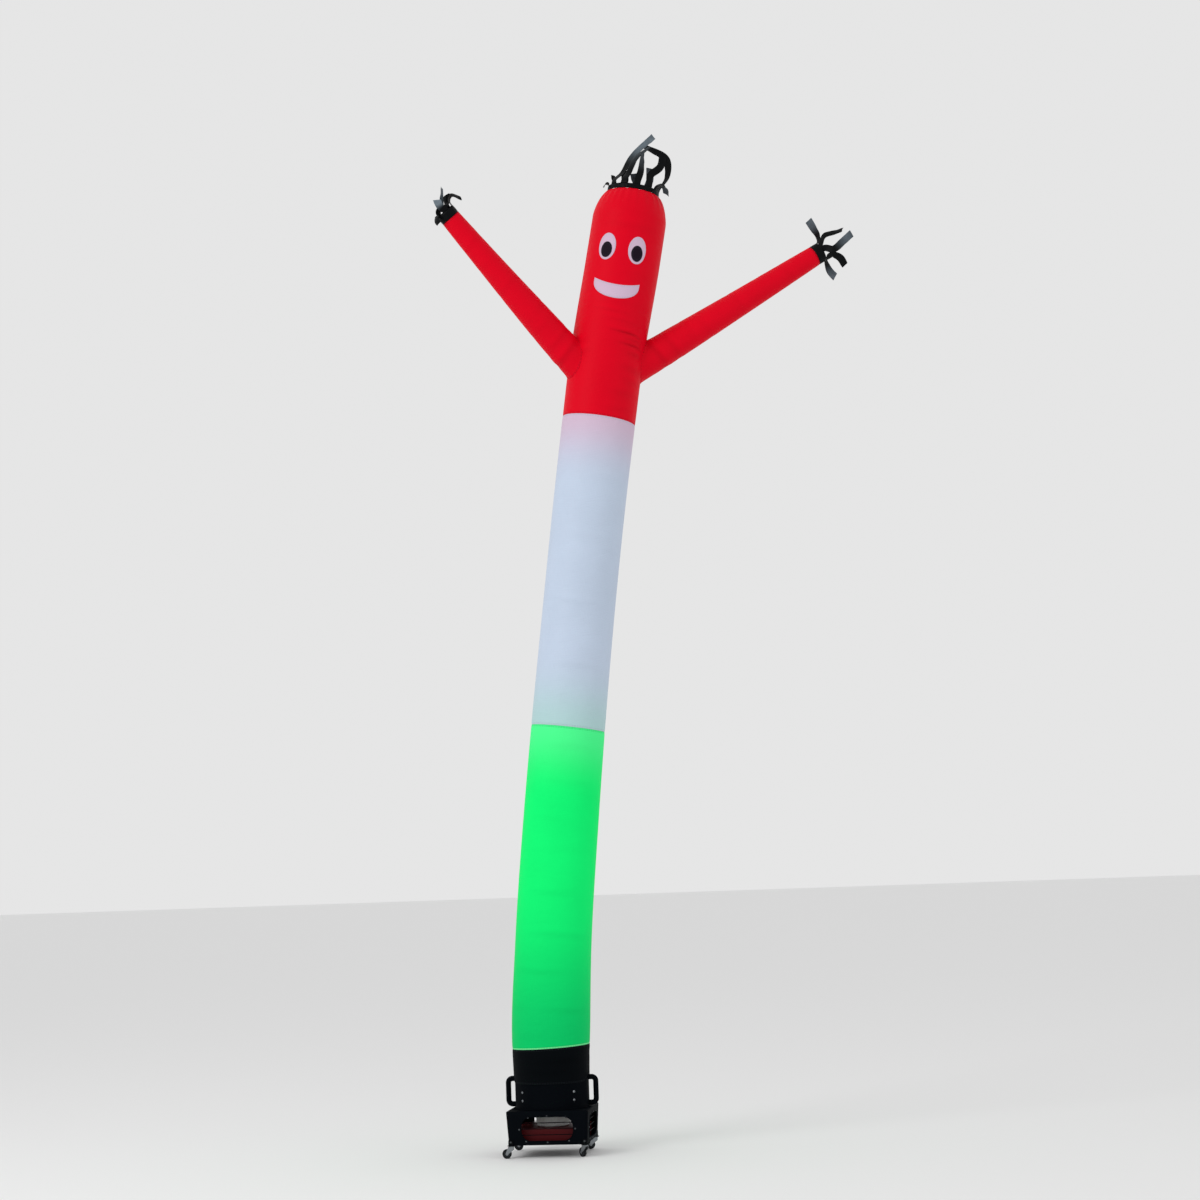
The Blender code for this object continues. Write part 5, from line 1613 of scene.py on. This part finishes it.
@dataclass
class Drum:
    """The round outlet that the cloth is pulled over, and the two carrying loops on it."""

    radius: float = 0.2165
    wall: float = 0.005
    low: float = 0.2683
    top: float = 0.505
    foot: float = 0.228
    lip: float = 0.0025
    beads: tuple[float, float] = (0.452, 0.480)
    bead_depth: float = 0.0012
    bead_half: float = 0.006
    bar: float = 0.0155
    reach: float = 0.2590
    loop_low: float = 0.2905
    loop_high: float = 0.4375
    bend: float = 0.024
    bolt_aside: float = 0.151
    bolt_heights: tuple[float, float] = (0.3200, 0.3675)
    bolt: tuple[float, float] = (0.0075, 0.0055)

    def make_drum(self, bench: Bench) -> None:
        """Builds a wall turned about Z with a foot ring, two shallow beads and a rolled lip.

        Args:
            bench: Where it is made.
        """
        r, foot, low = self.radius, self.foot, self.low
        profile = [(foot - 0.001, low), (foot, low + 0.001), (foot, low + 0.0035),
                   (foot - 0.001, low + 0.0043), (r, low + 0.006)]
        for middle in self.beads:
            profile += [(r + self.bead_depth * math.sin(a), middle - self.bead_half * math.cos(a))
                        for a in np.linspace(0.0, math.pi, 7)]
        profile += [(r - self.lip + self.lip * math.cos(a), self.top - self.lip + self.lip * math.sin(a))
                    for a in np.linspace(0.0, math.pi, 9)]
        profile += [(r - self.wall, low)]
        bench.add("drum", [revolved(profile, 128, closed=True)], HOUSING, "housing_black",
                  stands_for=["blower_drum"], sharp=50.0)

    def make_loops(self, bench: Bench) -> None:
        """Builds the loops: a round bar carried along a U with rounded corners.

        Args:
            bench: Where they are made.
        """
        start = self.radius + 0.0004
        turn = np.linspace(0.0, math.pi / 2, 9)
        inner = self.reach - self.bend
        x = np.concatenate(([start, (start + inner) / 2], inner + self.bend * np.sin(turn),
                            inner + self.bend * np.cos(turn), [(start + inner) / 2, start]))
        z = np.concatenate(([self.loop_high] * 2, self.loop_high - self.bend * (1 - np.cos(turn)),
                            self.loop_low + self.bend * (1 - np.sin(turn)), [self.loop_low] * 2))
        path = np.column_stack((x, np.zeros(len(x)), z))
        loop = carried(path, disc(self.bar, 28), NORTH, closed=False)
        for side, sign in (("right", 1.0), ("left", -1.0)):
            bench.add(f"loop_{side}", [loop.moved(np.diag((sign, sign, 1.0)))], HOUSING, "housing_black",
                      stands_for=[f"handle_{side}"], sharp=60.0)

    def make_bolts(self, bench: Bench) -> None:
        """Builds two bolts, one above the other, on either side of the front and of the back.

        Args:
            bench: Where they are made.
        """
        turn = math.asin(self.bolt_aside / self.radius)
        angles = np.array([base + sign * turn for base in (-math.pi / 2, math.pi / 2) for sign in (-1, 1)])
        a, z = np.meshgrid(angles, np.array(self.bolt_heights))
        out = np.stack((np.cos(a), np.sin(a), np.zeros_like(a)), axis=-1).reshape(-1, 3)
        places = out * self.radius + UP * z.reshape(-1, 1)
        bench.add("drum_bolts", screws(places, out, *self.bolt), ZINC, "caster_steel")

    def make(self, bench: Bench) -> None:
        """Builds the drum, the loops and the bolts.

        Args:
            bench: Where they are made.
        """
        self.make_drum(bench)
        self.make_loops(bench)
        self.make_bolts(bench)


@dataclass
class Motor:
    """The motor on its tray inside the housing, with the fan on its shaft."""

    tray_top: float = 0.165
    radius: float = 0.100
    height: float = 0.100
    fins: int = 9
    shaft: float = 0.008
    hub: tuple[float, float, float] = (0.046, 0.322, 0.372)
    fan_radius: float = 0.200
    blades: int = 5
    pitch: float = math.radians(28.0)
    chord: float = 0.105
    bolt: tuple[float, float] = (0.0055, 0.004)
    bolt_circle: float = 0.066

    def make_motor(self, bench: Bench) -> None:
        """Builds a body turned about Z, with cooling fins as ridges round it and a bearing boss on top.

        Args:
            bench: Where it is made.
        """
        low = self.tray_top + 0.0003
        high = low + self.height
        profile = [(0.0, low), (0.090, low), (0.092, low + 0.002), (0.092, low + 0.014)]
        for z in np.linspace(low + 0.018, high - 0.030, self.fins):
            profile += [(0.094, z - 0.0022), (self.radius - 0.001, z - 0.0014), (self.radius, z),
                        (self.radius - 0.001, z + 0.0014), (0.094, z + 0.0022)]
        profile += [(0.092, high - 0.022), (0.092, high - 0.012), (0.086, high - 0.004), (0.078, high),
                    (0.028, high), (0.024, high + 0.004), (0.024, high + 0.011), (0.023, high + 0.012),
                    (0.0085, high + 0.012), (0.0085, high - 0.008), (0.0, high - 0.008)]
        bench.add("motor_body", [revolved(profile, 72)], CAST_ALUMINIUM, "motor_grey",
                  stands_for=["motor"], sharp=40.0)
        angle = np.radians((45.0, 135.0, 225.0, 315.0))
        out = np.stack((np.cos(angle), np.sin(angle), np.zeros(4)), axis=-1)
        heads = screws(out * self.bolt_circle + UP * high, np.tile(UP, (4, 1)), *self.bolt)
        bench.add("motor_bolts", heads, ZINC, "caster_steel")

    def blade(self, turn: float) -> Surface:
        """One blade.

        Its section is a thin cambered lens whose chord grows and whose pitch falls towards the tip,
        carried outwards from the hub along a radius.

        Args:
            turn: Where it stands round the hub.

        Returns:
            The closed surface.
        """
        share = np.linspace(0.0, 1.0, 12)[:, None]
        angle = angles_round(24)[None]
        chord = self.chord * (0.55 + 0.45 * share) * (1 - 0.10 * ease(0.85, 1.0, share))
        s = np.cos(angle) / 2
        y, z = s * chord, 0.0016 * np.sin(angle) + 0.010 * share * (0.25 - s**2)
        pitch = self.pitch * (1.12 - 0.24 * share)
        root, tip = self.hub[0] - 0.006, self.fan_radius - 0.001
        places = np.broadcast_arrays(root + (tip - root) * share, y * np.cos(pitch) - z * np.sin(pitch),
                                     y * np.sin(pitch) + z * np.cos(pitch))
        blade = grid(capped(np.stack(places, axis=-1)), round_columns=True)
        return blade.moved(turn_about_up(turn), UP * (self.hub[1] + self.hub[2]) / 2)

    def make_fan(self, bench: Bench) -> None:
        """Builds shaft, domed hub and blades, as one piece.

        Args:
            bench: Where it is made.
        """
        radius, low, high = self.hub
        foot = self.tray_top + self.height - 0.0075
        profile = [(0.0, foot), (self.shaft, foot), (self.shaft, low), (radius - 0.004, low),
                   (radius, low + 0.004), (radius, high - 0.012), (radius - 0.004, high - 0.004),
                   (radius - 0.014, high), (0.012, high), (0.011, high - 0.004), (0.0, high - 0.004)]
        parts = [revolved(profile, 48)]
        parts += [self.blade(math.tau * k / self.blades) for k in range(self.blades)]
        bench.add("fan", parts, FAN_NYLON, "fan_black", body="fan", stands_for=["impeller"], sharp=40.0)

    def make(self, bench: Bench) -> None:
        """Builds the motor and the fan."""
        self.make_motor(bench)
        self.make_fan(bench)


@dataclass
class Caster:
    """A swivel caster: its wheel is rebuilt, and its fork and bracket keep their packed form.

    Attributes:
        corner: Which corner it stands at.
        place: Its stem's place from the blower's axis.
        trail: Degrees that its wheel trails to.
    """

    corner: str
    place: tuple[float, float]
    trail: float
    radius: float = 0.02708
    width: float = 0.018
    bore: float = 0.00435
    reach: float = 0.028
    tyre_edge: float = 0.0030
    nut_reach: float = 0.0134
    nut: tuple[float, float] = (0.0058, 0.0036)
    bolt_height: float = 0.0935
    bolt_out: float = 0.0308
    bolt: tuple[float, float] = (0.0058, 0.0042)

    def make_wheel(self, bench: Bench, frame: Array, hub: Array) -> None:
        """Builds the tyre and the wheel's core, each a profile turned about the axle.

        Args:
            bench: Where they are made.
            frame: Rows ahead, down and along the axle.
            hub: The wheel's middle.
        """
        half, edge, wheel = self.width / 2, self.tyre_edge, f"wheel_{self.corner}"
        tread = [(self.radius - edge + edge * math.cos(a), (half - 0.0032) * np.sign(a) + edge * math.sin(a))
                 for a in np.linspace(-math.pi / 2, math.pi / 2, 9) if abs(a) > 1e-6]
        tread = [(0.0205, -half + 0.0012), *tread, (0.0205, half - 0.0012)]
        bench.add(f"tyre_{self.corner}", [revolved(tread, 56, closed=True).moved(frame, hub)], GREY_TREAD,
                  "wheel_grey", body=wheel, stands_for=[f"caster_wheel_{self.corner}"])
        face = [(self.bore, half), (0.0085, half), (0.0095, half - 0.001), (0.0105, half - 0.0035),
                (0.0175, half - 0.0040), (0.0190, half - 0.0016), (0.0206, half - 0.0014)]
        core = [*((r, -z) for r, z in face), *reversed(face)]
        bench.add(f"wheel_core_{self.corner}", [revolved(core, 48, closed=True).moved(frame, hub)],
                  WHEEL_CORE, "wheel_grey", body=wheel)

    def make(self, bench: Bench) -> None:
        """Builds the wheel, the axle's nuts and the bracket's bolt.

        Args:
            bench: Where they are made.
        """
        turn = math.radians(self.trail)
        ahead = np.array((math.cos(turn), math.sin(turn), 0.0))
        axle = np.array((-math.sin(turn), math.cos(turn), 0.0))
        hub = np.array((*self.place, 0.0)) + ahead * self.reach + UP * self.radius
        self.make_wheel(bench, np.stack((ahead, np.cross(axle, ahead), axle)), hub)
        ends = np.array([hub + axle * sign * self.nut_reach for sign in (-1, 1)])
        bench.add(f"axle_nuts_{self.corner}", screws(ends, np.array((-axle, axle)), *self.nut), ZINC,
                  "caster_steel", body=f"caster_{self.corner}")
        out = NORTH * (-1.0 if self.place[1] < 0 else 1.0)
        spot = np.array((*self.place, self.bolt_height)) + out * self.bolt_out
        bench.add(f"bracket_bolt_{self.corner}", screws(spot[None], out[None], *self.bolt), DARK_ZINC,
                  "caster_steel")


CASTERS = (
    Caster("front_left", (-0.215, -0.204), 188.0),
    Caster("front_right", (0.215, -0.204), 132.0),
    Caster("back_right", (0.215, 0.204), 196.0),
    Caster("back_left", (-0.215, 0.204), 190.0),
)


def dress_packed(nodes: dict[str, Piece]) -> None:
    """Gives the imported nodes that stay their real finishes.

    Args:
        nodes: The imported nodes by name.
    """
    looks = {"motor_tray": RED_POWDER, "caster_bracket": BLACK_POWDER, "caster_fork": ZINC}
    for name, node in nodes.items():
        for start, finish in looks.items():
            if name.startswith(start):
                node.data.materials.clear()
                node.data.materials.append(finish.material())
                LOG.info("%s keeps its packed form in %s", name, finish.name)


# ---- The studio --------------------------------------------------------------------------------
@dataclass
class Studio:
    """A pale floor, soft light and a camera at the photograph's viewing angle.

    Attributes:
        camera_place: The camera's place from the blower's axis.
        azimuth: Degrees that it stands to the right of the front.
        pitch: Degrees that it looks up.
        roll: Degrees that it is turned about its own axis.
        lens: Its focal length in millimetres on a 36 mm sensor.
        sky: The even sky's strength.
        target: What the lamps are aimed at.
        lamps: Each lamp's name, place, size and power.
        floor_reach: Half the floor's width.
        floor_grey: The floor's linear grey.
    """

    camera_place: tuple[float, float, float] = (2.2431, -14.1281, 1.6300)
    azimuth: float = 7.5
    pitch: float = 6.44
    roll: float = -2.0
    lens: float = 72.0
    sky: float = 0.79
    target: tuple[float, float, float] = (0.0, 0.0, 3.0)
    lamps: tuple[tuple[str, tuple[float, float, float], float, float], ...] = (
        ("key", (-8.0, -9.0, 8.0), 6.0, 430.0),
        ("fill", (10.0, -7.0, 5.0), 7.0, 60.0),
    )
    floor_reach: float = 150.0
    floor_grey: float = 0.86

    def make_camera(self, bench: Bench) -> None:
        """Sets the camera: turned about its own axis, tipped up from level, then turned about Z.

        Args:
            bench: Where the object is made, which holds the axis.
        """
        data = bpy.data.cameras.new("camera")
        data.lens = self.lens
        data.sensor_width = 36.0
        data.clip_end = 600.0
        camera = bpy.data.objects.new("camera", data)
        bpy.context.scene.collection.objects.link(camera)
        turn = (Matrix.Rotation(math.radians(self.azimuth), 4, "Z")
                @ Matrix.Rotation(math.radians(90.0 + self.pitch), 4, "X")
                @ Matrix.Rotation(math.radians(self.roll), 4, "Z"))
        camera.matrix_world = Matrix.Translation(bench.axis + np.array(self.camera_place)) @ turn
        bpy.context.scene.camera = camera

    def make_floor(self) -> None:
        """Lays a large pale floor."""
        mesh = bpy.data.meshes.new("floor")
        r = self.floor_reach
        mesh.from_pydata([(-r, -r, 0), (r, -r, 0), (r, r, 0), (-r, r, 0)], [], [(0, 1, 2, 3)])
        floor = bpy.data.objects.new("floor", mesh)
        bpy.context.scene.collection.objects.link(floor)
        material = bpy.data.materials.new("pale_floor")
        material.use_nodes = True
        shader = material.node_tree.nodes["Principled BSDF"]
        shader.inputs["Base Color"].default_value = (*[self.floor_grey] * 3, 1.0)
        shader.inputs["Roughness"].default_value = 0.9
        shader.inputs["Specular IOR Level"].default_value = 0.1
        mesh.materials.append(material)

    def make_light(self) -> None:
        """Sets an even pale sky, a large soft key from the front left and a weaker fill from the right."""
        scene = bpy.context.scene
        world = bpy.data.worlds.new("studio")
        world.use_nodes = True
        back = world.node_tree.nodes["Background"]
        back.inputs["Color"].default_value = (1.0, 1.0, 1.0, 1.0)
        back.inputs["Strength"].default_value = self.sky
        scene.world = world
        for name, place, size, power in self.lamps:
            data = bpy.data.lights.new(name, "AREA")
            data.size = size
            data.energy = power
            lamp = bpy.data.objects.new(name, data)
            scene.collection.objects.link(lamp)
            ahead = unit(np.array(self.target) - np.array(place))
            side = unit(np.cross(ahead, UP))
            turn = Matrix(np.stack((side, np.cross(side, ahead), -ahead), axis=1).tolist()).to_4x4()
            lamp.matrix_world = Matrix.Translation(place) @ turn
        scene.view_settings.view_transform = "Standard"
        scene.view_settings.look = "None"

    def make(self, bench: Bench) -> None:
        """Sets up camera, floor and light.

        Args:
            bench: Where the object is made.
        """
        self.make_camera(bench)
        self.make_floor()
        self.make_light()


# ---- Everything --------------------------------------------------------------------------------
def main() -> None:
    """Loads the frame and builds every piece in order."""
    logging.basicConfig(level=logging.INFO, format="%(message)s")
    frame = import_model()
    low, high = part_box("blower_drum")
    bench = Bench(np.array(((low.x + high.x) / 2, (low.y + high.y) / 2, 0.0)))
    LOG.info("the blower's axis stands at %s", bench.axis)
    Studio().make(bench)

    form = TubeForm()
    Cuff("cuff_black", BLACK_NYLON, "cloth_black", HEM, CUFF_SEAM, form).make(bench)
    ClothPanel("panel_green", GREEN_NYLON, "cloth_green", CUFF_SEAM, GREEN_SEAM, form,
               foot_reach=1.30).make(bench)
    ClothPanel("panel_white", WHITE_NYLON, "cloth_white", GREEN_SEAM, WHITE_SEAM, form).make(bench)
    RedPanel("panel_red", RED_NYLON, "cloth_red", WHITE_SEAM, HEAD_TOP, form).make(bench)
    arms = (
        Arm("left", 4.512, (-0.428, -0.40, 5.511), 0.0990, 0.0595, 0.008, form),
        Arm("right", 4.546, (1.775, 0.20, 5.356), 0.1000, 0.0610, 0.005, form),
    )
    for arm in arms:
        arm.make(bench)
    Face(form).make(bench)

    crown, along = form.middle(np.array(HEAD_TOP)), form.along(np.array(HEAD_TOP))
    RibbonBand("hair_ribbons", "hair_streamers", crown + along * BAND_GAP, np.cross(BACK, along), BACK,
               along, HEAD_OPENING, 0.030, 24, HAIR).make(bench)
    for arm, ribbons in zip(arms, (HAND_LEFT, HAND_RIGHT)):
        tip = arm.start + arm.along * (arm.length + BAND_GAP)
        RibbonBand(f"hand_ribbons_{arm.side}", f"hand_streamers_{arm.side}", tip, arm.across, arm.back,
                   arm.along, arm.tip_radius, 0.050, 10, ribbons).make(bench)

    Housing().make(bench)
    Drum().make(bench)
    Motor().make(bench)
    for caster in CASTERS:
        caster.make(bench)
    dress_packed(frame["nodes"])


if __name__ == "__main__":
    main()
